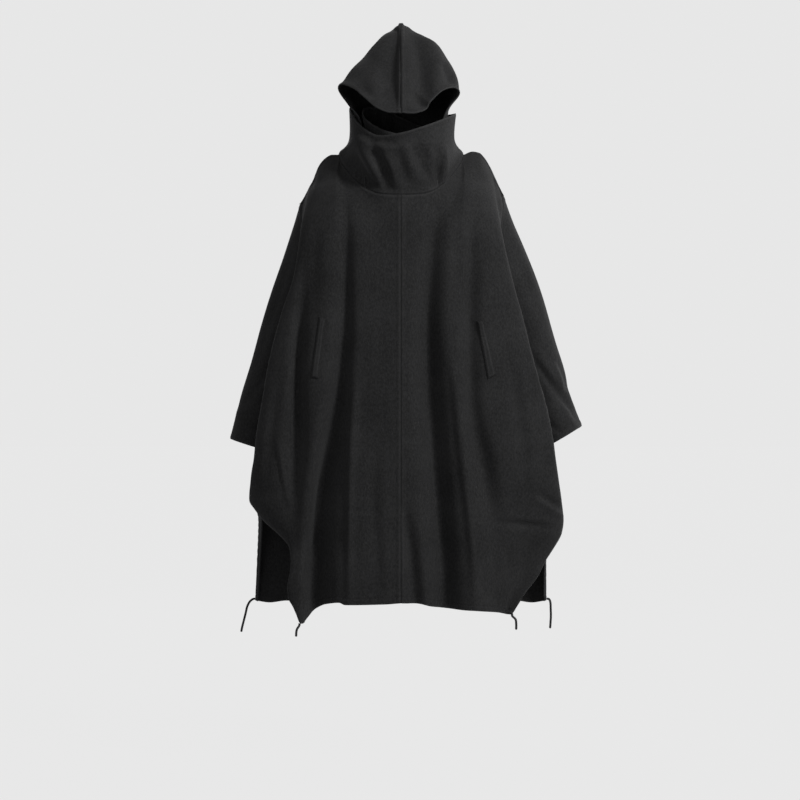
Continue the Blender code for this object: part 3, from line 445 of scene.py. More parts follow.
# %% [markdown]
# ## Lines that run down the fronts and the back
#
# Cloth hangs in columns. Each guide is one of those columns seen from the front, and the rows
# give how far it is from the centre. The lines between them spread evenly, as threads would.

# %% Guides and centre seams
FRONT_GUIDES = {
    RIGHT: {
        0.43: table("""
        z x
        -20 100
        -110 108
        -169 118
        -364 127
        -510 131
        -608 142
        -724 152
        -880 161
        -1000 168
        -1100 174
        """),
        0.76: table("""
        z x
        -20 172
        -110 186
        -230 210
        -373 232
        -559 247
        -700 250
        -842 257
        -930 252
        -1000 232
        -1110 205
        """),
    },
    LEFT: {
        0.14: table("""
        z x
        -20 33
        -860 14
        -920 26
        -1000 44
        -1115 54
        """),
        0.34: table("""
        z x
        -20 82
        -110 88
        -291 86
        -413 80
        -559 77
        -700 82
        -841 104
        -958 126
        -1115 158
        """),
        0.7: table("""
        z x
        -20 156
        -110 166
        -240 182
        -400 188
        -520 190
        -620 200
        -802 222
        -920 232
        -1010 236
        -1115 232
        """),
    },
}
BACK_GUIDES = {
    RIGHT: {
        0.28: table("""
        z x
        -20 58
        -400 62
        -800 78
        -1118 92
        """),
        0.62: table("""
        z x
        -20 140
        -240 152
        -450 168
        -800 205
        -1118 235
        """),
    },
    LEFT: {
        0.3: table("""
        z x
        -20 62
        -260 68
        -500 76
        -850 98
        -1118 118
        """),
        0.64: table("""
        z x
        -20 142
        -200 156
        -450 178
        -800 214
        -1118 250
        """),
    },
}

# How far the centre seams stand from the wearer, down the body
CENTRE_FRONT = table("""
z y
20 -120
-106 -138
-200 -148
-400 -157
-700 -165
-1100 -175
""")
CENTRE_BACK = table("""
z y
35 95
0 110
-64 128
-180 142
-400 147
-700 151
-1118 160
""")


# %% [markdown]
# ## Where the cape folds over the sleeves
#
# The fronts and the back are much wider than the wearer. Each one runs out past the sleeve, turns
# round in a soft fold and comes back in to the side seam. Turn is how round that fold is, tuck
# how far the cloth runs in behind it. Below the side seam the vent leaves both edges free.

# %% The folds and free edges of the fronts
FRONT_FOLD = {
    RIGHT: table("""
    z x y turn tuck
    -64 221 -45 40 60
    -108 232 -68 40 60
    -174 246 -86 40 70
    -243 256 -93 45 90
    -307 268 -96 50 110
    -371 288 -98 50 160
    -440 307 -100 55 240
    -519 327 -102 60 290
    -608 342 -102 60 290
    -701 359 -98 60 260
    -753 364 -92 60 140
    -790 370 -85 60 80
    -854 375 -72 40 40
    -879 360 -78 20 20
    -903 341 -86 10 10
    -949 290 -106 10 10
    -971 274 -118 10 10
    -1010 270 -136 20 20
    -1069 278 -142 24 24
    -1091 276 -142 20 20
    -1114 263 -150 10 10
    -1150 248 -163 6 6
    """),
    LEFT: table("""
    z x y turn tuck
    -64 219 -48 40 60
    -108 227 -68 40 60
    -179 244 -86 40 70
    -263 263 -93 45 90
    -342 283 -97 50 130
    -411 302 -100 50 200
    -490 322 -102 55 280
    -549 337 -102 60 290
    -637 361 -100 60 290
    -701 374 -98 60 270
    -758 382 -90 60 140
    -820 392 -80 60 80
    -880 401 -65 40 40
    -904 403 -60 20 20
    -937 398 -62 10 10
    -968 381 -68 10 10
    -1007 355 -82 10 10
    -1041 338 -96 10 10
    -1078 308 -118 10 10
    -1097 294 -130 10 10
    -1129 272 -144 6 6
    """),
}

# The side seam below the underarm, and below the vent's top the free edge of each front
FRONT_SIDE = {
    RIGHT: table("""
    z x y
    -440 200 12
    -480 192 10
    -530 194 8
    -600 214 2
    -690 246 0
    -730 268 0
    -770 312 -4
    -810 350 -16
    -854 371 -42
    -879 358 -66
    -903 339 -80
    -949 287 -100
    -971 268 -108
    -1010 260 -114
    -1069 264 -122
    -1091 262 -124
    -1114 252 -133
    -1150 238 -147
    """),
    LEFT: table("""
    z x y
    -430 205 12
    -470 197 10
    -520 199 8
    -600 220 2
    -690 252 0
    -730 276 0
    -775 325 -4
    -830 375 -18
    -895 401 -42
    -937 396 -54
    -968 379 -63
    -1007 350 -68
    -1041 331 -80
    -1078 299 -102
    -1097 283 -114
    -1129 260 -128
    """),
}
VENT_TOP_Z = {RIGHT: -854, LEFT: -895}
CORNER_Z = {RIGHT: -1150, LEFT: -1129}

# The hem of each front, from the centre seam to the corner
FRONT_HEM = {
    RIGHT: table("""
    x z
    0 -1100
    40 -1103
    138 -1105
    152 -1100
    187 -1106
    209 -1117
    226 -1134
    246 -1150
    """),
    LEFT: table("""
    x z
    0 -1100
    39 -1102
    102 -1115
    141 -1118
    180 -1120
    226 -1124
    271 -1129
    """),
}


# %% The folds and free edges of the back
BACK_FOLD = {
    RIGHT: table("""
    z x y turn tuck
    -64 222 60 30 40
    -119 240 80 30 50
    -180 250 98 35 90
    -263 262 110 40 130
    -342 276 117 45 190
    -440 292 120 50 290
    -549 312 121 55 330
    -637 328 121 55 330
    -720 342 119 55 260
    -790 358 96 50 80
    -854 371 70 40 60
    -912 362 84 20 30
    -1014 366 98 10 10
    -1116 371 106 8 8
    """),
    LEFT: table("""
    z x y turn tuck
    -64 222 60 30 40
    -119 240 80 30 50
    -180 250 98 35 90
    -263 266 110 40 130
    -342 282 117 45 190
    -440 300 120 50 290
    -549 322 121 55 330
    -637 340 121 55 330
    -720 356 119 55 260
    -800 376 96 50 80
    -880 397 60 40 60
    -940 382 76 20 30
    -1014 370 98 10 10
    -1116 370 106 8 8
    """),
}
BACK_SIDE = {
    RIGHT: table("""
    z x y
    -854 371 -42
    -905 352 30
    -960 355 62
    -1014 359 82
    -1116 366 96
    """),
    LEFT: table("""
    z x y
    -895 401 -42
    -935 384 18
    -980 369 56
    -1040 365 84
    -1116 365 96
    """),
}
BACK_HEM = table("""
x z
0 -1120
120 -1118
220 -1122
291 -1119
332 -1123
372 -1116
""")


# %% [markdown]
# ## Deep pleats
#
# Long soft pleats form where the weight of the cloth hangs from the shoulder and the chest. They
# differ between the two sides, because a worn coat never hangs evenly.

# %% Pleats of the fronts
FRONT_PLEATS = {
    RIGHT: {
        "side pleat": table("""
        z x deep out inward
        -230 232 0 16 20
        -373 244 16 16 18
        -520 252 30 16 18
        -640 254 28 20 20
        -760 256 20 24 24
        -880 258 8 24 28
        -960 260 0 24 28
        """),
        "long pleat": table("""
        z x deep out inward
        -110 128 0 22 16
        -215 132 12 24 16
        -400 134 24 24 17
        -549 146 32 22 22
        -681 168 40 20 30
        -866 204 48 18 42
        -1000 214 54 18 46
        -1110 216 56 18 46
        """),
    },
    LEFT: {
        "long pleat": table("""
        z x deep out inward
        -110 86 0 24 22
        -215 76 14 24 24
        -400 66 30 26 24
        -549 66 40 32 24
        -681 76 42 36 26
        -866 90 46 38 28
        -1000 96 48 42 26
        -1115 100 48 42 24
        """),
        "pocket pleat": table("""
        z x deep out inward
        -90 178 0 18 14
        -200 172 8 20 14
        -400 168 16 22 16
        -520 168 16 22 16
        -620 172 16 22 16
        -802 206 20 28 22
        -920 222 12 28 24
        -1010 230 0 24 24
        """),
        "low pleat": table("""
        z x deep out inward
        -860 10 0 16 10
        -920 16 10 18 10
        -1000 24 16 20 12
        -1115 34 18 22 14
        """),
        "turned side": table("""
        z x deep out inward
        -780 300 0 70 60
        -880 305 14 70 60
        -1000 300 40 70 60
        -1115 280 60 60 50
        """),
    },
}


# %% Pleats of the back
BACK_PLEATS = {
    RIGHT: {
        "outer pleat": table("""
        z x deep out inward
        -240 150 0 24 24
        -450 168 16 26 24
        -800 205 34 30 26
        -1118 235 42 32 26
        """),
        "inner pleat": table("""
        z x deep out inward
        -150 52 0 22 24
        -400 60 12 22 26
        -800 78 26 24 28
        -1118 92 34 26 30
        """),
    },
    LEFT: {
        "outer pleat": table("""
        z x deep out inward
        -200 156 0 26 24
        -450 178 18 26 26
        -800 214 30 30 28
        -1118 250 38 30 30
        """),
        "inner pleat": table("""
        z x deep out inward
        -260 66 0 22 22
        -500 74 14 22 24
        -850 98 28 26 26
        -1118 118 36 28 28
        """),
    },
}


def pleat_depth(pleats, x, z):
    """How far the pleats press the cloth in, at places given as they are seen from the front."""
    total = np.zeros(np.broadcast(x, z).shape)
    for pleat in pleats.values():
        off = x - read(pleat, "z", "x", z)
        outward = off * np.sign(pleat["x"].sum()) > 0
        wide = np.where(outward, read(pleat, "z", "out", z), read(pleat, "z", "inward", z))
        total = total + read(pleat, "z", "deep", z) * np.exp(-((off / wide) ** 2))
    return total


# %% [markdown]
# ## One surface for each body panel
#
# A panel is a net of rows and columns. Its rows start on the neck and shoulder seams and end on
# the hem, its columns run from the centre seam to the side. Simulated cloth would hang well but
# not in the folds that this coat shows, so the places come from the lines above.

# %% Panel counts
ARMHOLE_ROWS, SIDE_ROWS, VENT_ROWS = 64, 54, 54
BODY_ROWS = ARMHOLE_ROWS + SIDE_ROWS + VENT_ROWS
NECK_STEPS, SHOULDER_STEPS = 54, 24
FRONT_COLS = NECK_STEPS + 3 * SHOULDER_STEPS
FRONT_RETURN = 24
BACK_COLS = NECK_STEPS + 2 * SHOULDER_STEPS
BACK_RETURN = 18
RING = 4 * NECK_STEPS
YOKE_FADE, YOKE_SOFT, YOKE_SOFT_BY = 170.0, 22, 64
RETURN_WAY = 0.78
UNDERARM_IN, UNDERARM_REACH = 16.0, 80.0
CHEST_FULL, CHEST_ROUND = 2.4, 0.62
HUMP = 6.75  # brings t * t * (1 - t) up to 1 at its highest


# %% The section of a panel at each height
def side_edge(side, below, z, facing):
    """The panel's side edge at a height: the armhole, then the side seam, then the vent."""
    hole = ARMHOLE[side]
    half = (hole["top_z"] - hole["low_z"]) / 2
    turn = np.arccos(np.clip((z - hole["low_z"]) / half - 1, -1, 1))
    ring = armhole(side, facing * turn)
    under = z < hole["low_z"]
    x = np.where(under, side * read(below, "z", "x", z), ring[..., 0])
    y = np.where(under, read(below, "z", "y", z), ring[..., 1])
    return x, y


def guided(guides, share, z, fold_x):
    """The distance from the centre at a share of the way to the fold, along the guide lines."""
    stops = sorted(guides)
    knots = np.array([0.0, *stops, 1.0])
    distances = [read(guides[stop], "z", "x", z.ravel()) for stop in stops]
    values = np.array([0 * z.ravel(), *distances, fold_x.ravel()]).T
    found = [through(knots, row, place) for row, place in zip(values, share.ravel())]
    return np.array(found).reshape(z.shape)


def section(side, u, z, folds, centre, below, split, facing, pleats, guides):
    """A place on a body panel: u runs from the centre seam (0) to the side edge (1)."""
    fold_x, fold_y, turn, tuck = (read(folds, "z", column, z) for column in ("x", "y", "turn", "tuck"))
    centre_y = read(centre, "z", "y", z)
    tau = np.clip(u / split, 0, 1)
    share = 0.5 * np.sin(tau * math.pi / 2) + 0.5 * tau
    x = side * guided(guides, share, z, fold_x)
    s = np.clip(np.abs(x) / fold_x, 0, 1)
    y = fold_y + (centre_y - fold_y) * np.clip(1 - s**CHEST_FULL, 0, 1) ** CHEST_ROUND
    press = pleat_depth(pleats, np.abs(x), z) * (1 - s**10)
    y = y + facing * press
    seam_x, seam_y = side_edge(side, below, z, facing)
    t = np.clip((u - split) / (1 - split), 0, 1)
    reach = t * t * (3 - 2 * t)
    bow = facing * (turn * t * (1 - t) ** 2 - tuck * t * t * (1 - t))
    sooner = np.clip(t / RETURN_WAY, 0, 1)
    inboard = sooner * sooner * (3 - 2 * sooner)
    back_x = (1 - inboard) * side * fold_x + inboard * seam_x
    low = np.exp(-(((z - ARMHOLE[side]["low_z"]) / UNDERARM_REACH) ** 2))
    back_x = back_x - side * UNDERARM_IN * low * HUMP * t * t * (1 - t)
    back_y = (1 - reach) * fold_y + reach * seam_y + bow
    beyond = u > split
    return np.stack([np.where(beyond, back_x, x), np.where(beyond, back_y, y), z], -1)


# %% From the shoulders to the hem
def top_edge(side, u, neck_end, from_angle):
    """The neck seam and then the shoulder seam, along the top of a body panel."""
    around = np.clip(u / neck_end, 0, 1)
    ring = neck_ring(side * (from_angle + (90 - from_angle) * around))
    way = np.clip((u - neck_end) / (1 - neck_end), 0, 1)
    line = np.stack([read(SHOULDER[side], "way", axis, way) for axis in "xyz"], -1)
    line[..., 0] *= side
    return np.where((u <= neck_end)[..., None], ring, line)


def edge_heights(side, low_z):
    """The heights of the side edge's rows: armhole, side seam, then vent."""
    hole = ARMHOLE[side]
    turn = np.linspace(0, math.pi, ARMHOLE_ROWS + 1)
    ring = (hole["top_z"] + hole["low_z"]) / 2 + (hole["top_z"] - hole["low_z"]) / 2 * np.cos(turn)
    seam = np.linspace(hole["low_z"], VENT_TOP_Z[side], SIDE_ROWS + 1)[1:]
    vent = np.linspace(VENT_TOP_Z[side], low_z, VENT_ROWS + 1)[1:]
    return np.concatenate([ring, seam, vent])


def soften(row, reach):
    """Evens out a row of places over its neighbours and keeps its two ends."""
    weights = np.hanning(2 * reach + 3)[1:-1]
    padded = np.pad(row, ((reach, reach), (0, 0)), "reflect", reflect_type="odd")
    return np.stack([np.convolve(padded[:, k], weights / weights.sum(), "valid") for k in range(3)], -1)


def body_panel(side, columns, return_columns, facing):
    """The places of one half of the body's front (facing 1) or back (facing -1)."""
    front = facing > 0
    folds = (FRONT_FOLD if front else BACK_FOLD)[side]
    below = FRONT_SIDE[side] if front else side_and_back_edge(side)
    centre = CENTRE_FRONT if front else CENTRE_BACK
    pleats = (FRONT_PLEATS if front else BACK_PLEATS)[side]
    guides = (FRONT_GUIDES if front else BACK_GUIDES)[side]
    corner = CORNER_Z[side] if front else BACK_HEM["z"][-1]
    hem = FRONT_HEM[side] if front else BACK_HEM
    split = 1 - return_columns / columns
    u = np.linspace(0, 1, columns + 1)[None, :]
    row = np.linspace(0, 1, BODY_ROWS + 1)[:, None]
    top = top_edge(side, u[0], NECK_STEPS / columns, 0 if front else 180)
    top_z = top[:, 2][None, :]
    low = section(side, u, corner + 30 + 0 * u, folds, centre, below, split, facing, pleats, guides)
    low_z = read(hem, "x", "z", np.abs(low[..., 0]))
    low_z[:, -1] = corner
    heights = edge_heights(side, corner)
    edge = ((heights - heights[0]) / (heights[-1] - heights[0]))[:, None]
    fall = (1 - u**2) * row + u**2 * edge
    z = top_z + (low_z - top_z) * fall
    places = section(side, u + 0 * z, z, folds, centre, below, split, facing, pleats, guides)
    corner_row = top - places[0]
    eased = smooth(top_z - z, 0, YOKE_SOFT_BY)[..., None]
    yoke = corner_row * (1 - eased) + soften(corner_row, YOKE_SOFT) * eased
    sink = np.clip((top_z - z) / YOKE_FADE, 0, 1)
    sideways = (1 - sink) ** 2 * (1 + 2 * sink)
    places = places + yoke * np.stack([sideways, (1 - sink) ** 2, sideways], -1)
    places[: ARMHOLE_ROWS + 1, -1] = armhole(side, facing * np.linspace(0, math.pi, ARMHOLE_ROWS + 1))
    return places


def side_and_back_edge(side):
    """The side seam that the back shares with the front, then the back's own free edge."""
    shared = FRONT_SIDE[side]["z"] >= VENT_TOP_Z[side]
    return {
        axis: np.concatenate([FRONT_SIDE[side][axis][shared], BACK_SIDE[side][axis][1:]])
        for axis in "zxy"
    }


# %% [markdown]
# ## Nets that crowd at the edges
#
# A seam or a stitched hem is only a few millimetres wide, and the net of a panel is coarser than
# that. Making the whole net finer would be slow. Instead its lines are moved: close together
# beside each edge, and evenly spread over the rest.

# %% Crowded nets, ways out and distances
THICK = 1.9  # the cloth away from its seams and hems
EDGE_STOPS = np.array([0.0, 0.8, 1.8, 3.2, 5.0, 7.5, 10.5, 12.6, 14.0, 15.4, 17.5, 21.0])


def along(grid):
    """The distance run along the first axis of a net."""
    steps = np.linalg.norm(np.diff(grid, axis=0), axis=-1)
    return np.concatenate([np.zeros((1, grid.shape[1])), np.cumsum(steps, 0)])


def crowd(places, axis):
    """Moves the lines of a net close together beside both edges."""
    grid = np.moveaxis(places, axis, 0)
    count = len(grid)
    run = along(grid)
    share = np.linspace(0, 1, count - 2 * len(EDGE_STOPS) + 2)[1:-1, None]
    wide = run[-1] - 2 * EDGE_STOPS[-1]
    near = EDGE_STOPS[:, None] + 0 * run[-1]
    stops = np.concatenate([near, EDGE_STOPS[-1] + wide * share, run[-1] - near[::-1]])
    where = np.stack([np.interp(stops[:, k], run[:, k], np.arange(count)) for k in range(run.shape[1])], 1)
    first = np.clip(np.floor(where).astype(int), 0, count - 2)
    t = (where - first)[..., None]
    before, a, b, after = (
        np.take_along_axis(grid, np.clip(first + k, 0, count - 1)[..., None], 0) for k in (-1, 0, 1, 2)
    )
    return np.moveaxis(between_four(before, a, b, after, t), 0, axis)


def steps_of(places, axis, closed=False):
    """The steps before and after each place, along an axis of a grid."""
    after = np.roll(places, -1, axis) - places
    before = np.roll(after, 1, axis)
    if not closed:
        ends = (slice(None),) * axis
        after[ends + (-1,)] = before[ends + (-1,)]
        before[ends + (0,)] = after[ends + (0,)]
    return before, after


def normals(places, closed, sign):
    """The outward direction at each place of a grid: the mean of its four corners there."""
    downs, acrosses = steps_of(places, 0), steps_of(places, 1, closed)
    return unit(sum(unit(np.cross(down, across)) for down in downs for across in acrosses) * sign)


class Cloth:
    """One piece of cloth: its net, the way out at each place, and the distances to its edges."""

    def __init__(self, name, places, sign, closed=False, crowded=(0, 1), wall=THICK):
        self.name, self.sign, self.closed = name, sign, closed
        for axis in crowded:
            places = crowd(places, axis)
        self.places = places
        self.seam, self.worn = np.zeros((2, *places.shape[:2]))
        self.wall = np.full(places.shape[:2], wall)
        self.look_again()

    def look_again(self):
        """Finds the ways out and the distances again, after the net has moved."""
        self.out = normals(self.places, self.closed, self.sign)
        down, across = along(self.places), along(self.places.swapaxes(0, 1)).swapaxes(0, 1)
        self.off = {
            "top": down,
            "bottom": down[-1] - down,
            "first": across,
            "last": across[:, -1:] - across,
        }

    def lift(self, height):
        """Moves the net outward by a height in millimetres at each place."""
        self.places = self.places + self.out * height[..., None]


# %% [markdown]
# ## Seams and hems
#
# Thick wool shows its seams as two low rounded ridges with a fine valley between them: the
# allowances lie pressed open behind the cloth and hold it up. A hem is turned up and stitched
# through, so its edge is round and thick, with a groove where the thread pulls.

# %% Relief of seams and hems
SEAM_MORE, HEM_MORE = 1.7, 1.5  # what is turned in behind them
HEM_INSET, VENT_INSET, COLLAR_INSET, WELT_INSET = 14.0, 11.0, 9.0, 2.6


def ripple(run, seed, longest=34.0):
    """Uneven small waves along a line, the same each time."""
    rng = np.random.default_rng(seed)
    total = 0
    for _ in range(5):
        wave, shift, size = longest * rng.uniform(0.3, 1.0), rng.uniform(0, 6.28), rng.uniform(0.5, 1.0)
        total = total + size * np.sin(run * 2 * math.pi / wave + shift)
    return total / 3


def add_seam(piece, off, run, seed, where=1.0, high=1.0):
    """Raises the cloth on this side of a seam, and puckers it a little along the thread.

    Off is the distance from the seam and run the distance along it. The cloth rises over the
    first 3 mm, and the allowance behind it ends 6.5 to 13 mm away.
    """
    ridge = smooth(off, 0, 3.0) * (1 - smooth(off, 6.5, 13.0))
    pucker = 0.28 * ripple(run, seed) * smooth(off, 0, 5.0) * (1 - smooth(off, 8.0, 24.0))
    piece.lift((high * ridge + pucker) * where)
    # The seam's valley is marked for painted shade, near-black; the crest beside it is marked paler as wear.
    piece.seam = np.maximum(piece.seam, (1 - smooth(off, 0.4, 2.4)) * where)
    piece.worn = np.maximum(piece.worn, 0.55 * smooth(off, 0.6, 3.0) * (1 - smooth(off, 4.0, 8.0)) * where)
    piece.wall = np.maximum(piece.wall, THICK + SEAM_MORE * (1 - smooth(off, 10.0, 12.5)) * where)


def add_hem(piece, off, run, seed, inset=HEM_INSET, where=1.0):
    """Turns up an edge: thick and round, with a stitched groove at the inset.

    The edge rolls inward over its last 4 mm, and the turned-up cloth ends past the groove.
    """
    groove = np.exp(-(((off - inset) / 1.5) ** 2))
    pucker = 0.35 * ripple(run, seed, 22.0) * np.exp(-(((off - inset) / 7.0) ** 2))
    roll = smooth(off, 0, 4.0) - 1
    piece.lift((0.45 * (1 - smooth(off, inset, inset + 3)) - 0.75 * groove + pucker + 0.7 * roll) * where)
    # The stitched groove is marked for painted shade, and the rolled edge is marked paler as wear.
    piece.seam = np.maximum(piece.seam, 0.6 * groove * where)
    piece.worn = np.maximum(piece.worn, (1 - smooth(off, 1.0, 4.5)) * where)
    piece.wall = np.maximum(piece.wall, THICK + HEM_MORE * (1 - smooth(off, inset + 8, inset + 11)) * where)


# %% [markdown]
# ## Creases and slack
#
# Beside the deep pleats the cloth carries finer lines: the edge of a pleat that was pressed once,
# a crease where a flap was folded over a rail. Each is a line drawn as it is seen from the front,
# pressed in along its valley and raised along the ridge beside it. Slack adds slow waves.

# %% Creases and slack
def crease(piece, line, deep, left, right, ridge=0.0, ridge_at=0.0, facing=-1):
    """Presses a valley along a line of (x, z) places, with a ridge beside it.

    Left and right are how wide the valley is on each side, and ridge_at is where the ridge runs.
    The crease fades out at both ends of its line and where the cloth turns away from facing.
    """
    line = np.array(line, float)
    x, z = piece.places[..., 0], piece.places[..., 2]
    nearest = np.full(x.shape, np.inf)
    off, way, run = np.zeros(x.shape), np.zeros(x.shape), 0.0
    whole = np.linalg.norm(np.diff(line, axis=0), axis=1).sum()
    for start_at, end_at in zip(line[:-1], line[1:]):
        step = end_at - start_at
        size = np.linalg.norm(step)
        t = np.clip(((x - start_at[0]) * step[0] + (z - start_at[1]) * step[1]) / size**2, 0, 1)
        dx, dz = x - start_at[0] - t * step[0], z - start_at[1] - t * step[1]
        far = np.hypot(dx, dz)
        closer = far < nearest
        nearest = np.where(closer, far, nearest)
        off = np.where(closer, far * np.sign(step[0] * dz - step[1] * dx), off)
        way = np.where(closer, (run + t * size) / whole, way)
        run += size
    fade = np.sin(math.pi * np.clip(way, 0, 1)) ** 0.6 * np.clip(facing * piece.out[..., 1] * 4, 0, 1)
    valley = deep * np.exp(-((off / np.where(off > 0, right, left)) ** 2))
    reach = max(abs(ridge_at) * 0.7, 1.0)
    crest = ridge * np.exp(-(((off - ridge_at) / reach) ** 2))
    piece.lift((crest - valley) * fade)
    piece.look_again()


def slack(piece, seed, high=1.4, longest=230.0):
    """Adds slow uneven waves all over a piece, and none at its seams."""
    rng = np.random.default_rng(seed)
    x, y, z = np.moveaxis(piece.places, -1, 0)
    total = 0.0
    for _ in range(7):
        wave = longest * rng.uniform(0.35, 1.0)
        tilt = rng.uniform(-0.9, 0.9)
        across = x * math.cos(tilt) + y * 0.6 + z * math.sin(tilt) * 0.45
        total = total + np.sin(across * 2 * math.pi / wave + rng.uniform(0, 6.28))
    edges = np.minimum(piece.off["top"], piece.off["bottom"])
    if not piece.closed:
        edges = np.minimum(edges, np.minimum(piece.off["first"], piece.off["last"]))
    piece.lift(high * total / 2.6 * smooth(edges, 0, 60))
    piece.look_again()


# %% [markdown]
# ## From net to cloth
#
# A piece of cloth is a closed wall: an outer face, an inner face one thickness behind it, and an
# edge that is round, because felted wool never ends in a sharp corner. Solidify could add the
# thickness, but here it has to change along hems and seams, so the wall is made by hand.

# %% Close a net into a wall of cloth
EDGE_ROUND = 0.8  # how far an edge bulges, as a share of half the wall


def edge_loop(rows, cols, closed):
    """The places round the edge of a net, as lists of (row, column)."""
    if closed:
        return [[(0, j) for j in range(cols)], [(rows - 1, j) for j in range(cols)]]
    top = [(0, j) for j in range(cols - 1)]
    last = [(i, cols - 1) for i in range(rows - 1)]
    bottom = [(rows - 1, j) for j in range(cols - 1, 0, -1)]
    first = [(i, 0) for i in range(rows - 1, 0, -1)]
    return [top + last + bottom + first]


def cloth_wall(piece, finish):
    """Makes the mesh of a piece: both faces and a rounded edge."""
    rows, cols = piece.places.shape[:2]
    inner = piece.places - piece.wall[..., None] * piece.out
    size = rows * cols
    places = [piece.places.reshape(-1, 3), inner.reshape(-1, 3)]
    quads = grid_faces(rows, cols, piece.closed)
    faces = [quads, quads[:, ::-1] + size]
    count = 2 * size
    marks = [np.arange(size), np.arange(size)]
    for loop in edge_loop(rows, cols, piece.closed):
        at = np.array(loop)
        flat = at[:, 0] * cols + at[:, 1]
        here, back = piece.places[at[:, 0], at[:, 1]], inner[at[:, 0], at[:, 1]]
        away = np.zeros(here.shape)
        for row, step in ((0, 1), (rows - 1, -1)):
            on = at[:, 0] == row
            away[on] += unit(here[on] - piece.places[row + step, at[on, 1]])
        if not piece.closed:
            for col, step in ((0, 1), (cols - 1, -1)):
                on = at[:, 1] == col
                away[on] += unit(here[on] - piece.places[at[on, 0], col + step])
        away = unit(away)
        middle, half = (here + back) / 2, (here - back) / 2
        thick = np.linalg.norm(half, axis=-1, keepdims=True)
        strips = [flat]
        for angle in map(math.radians, (45, 90, 135)):
            places.append(middle + half * math.cos(angle) + away * thick * EDGE_ROUND * math.sin(angle))
            strips.append(count + np.arange(len(loop)))
            marks.append(flat)
            count += len(loop)
        strips.append(flat + size)
        for one, two in zip(strips[:-1], strips[1:]):
            faces.append(np.stack([one, two, np.roll(two, -1), np.roll(one, -1)], 1))
    obj = new_object(piece.name, np.concatenate(places), np.concatenate(faces).tolist(), finish)
    mesh = obj.data
    bm = bmesh.new()
    bm.from_mesh(mesh)
    bmesh.ops.recalc_face_normals(bm, faces=bm.faces)
    bm.to_mesh(mesh)
    bm.free()
    order = np.concatenate(marks)
    for name, values in (("seam", piece.seam), ("worn", piece.worn)):
        attribute = mesh.attributes.new(name, "FLOAT", "POINT")
        attribute.data.foreach_set("value", values.ravel()[order].astype(np.float32))
    print(piece.name, "has", len(mesh.polygons), "faces")
    return obj


# %% [markdown]
# ## The finish of the wool
#
# Felted coat wool is a dark charcoal that is never one flat black. Fibres of slightly different
# greys mix into a fine mottle, the nap is brushed downward, and slow clouds of light and dark
# come from pressing. Edges that rub are a little paler and smoother. The crown of each welt is
# painted paler as a highlight, and seam valleys, stitched grooves and welt rims are painted
# near-black as shade. A weave would be wrong here: milling closes it, so the surface is built
# from noise that is stretched along the nap.

# %% Charcoal wool finish
wool_finish, wool_shader, start = new_finish(
    "charcoal_melton", roughness=0.9, sheen_weight=0.10, sheen_roughness=0.4
)
here = start.node("TexCoord", output="Object")
fibres = here.noise(0.0011, 4.0, 0.7, (1.0, 1.0, 0.28))
mottle = here.noise(0.0042, 4.0, 0.62, (1.0, 1.0, 0.6))
clouds = here.noise(0.085, 2.0, 0.5)
hairs = here.noise(0.0016, 2.0, 0.5, (1.0, 0.9, 0.12)).between(0.64, 0.74)
seams = start.node("Attribute", {"attribute_name": "seam"}, output="Fac")
worn = start.node("Attribute", {"attribute_name": "worn"}, output="Fac")
tone = fibres * 0.42 + mottle * 0.40 + clouds * 0.18
colour = tone.between(0.41, 0.59).tint((0.0046, 0.0046, 0.0049), (0.0225, 0.0225, 0.0230))
colour = (hairs * 0.35).tint(colour, (0.060, 0.060, 0.061))
# Rubbed edges and seam crests are paler as wear; the band on each welt's crown is a painted highlight.
colour = (worn * 0.30).tint(colour, (0.034, 0.034, 0.035))
# Painted shade: near-black in seam valleys, stitched grooves and round the welts.
colour = (seams * 0.6).tint(colour, (0.0030, 0.0030, 0.0032))
height = fibres * 0.55 + mottle * 0.45
feed(
    wool_shader,
    base_color=colour,
    roughness=0.94 - worn * 0.12 - mottle * 0.08,
    normal=height.node("Bump", {}, {"Strength": 0.75, "Distance": 0.0011, "Height": height}),
)
print("finish", wool_finish.name)

# %% [markdown]
# ## The fronts
#
# Each front hangs from half the neck and one shoulder. The seam between them runs straight down
# the middle and stands out as a fine line. The panels carry the deep pleats, then the creases.

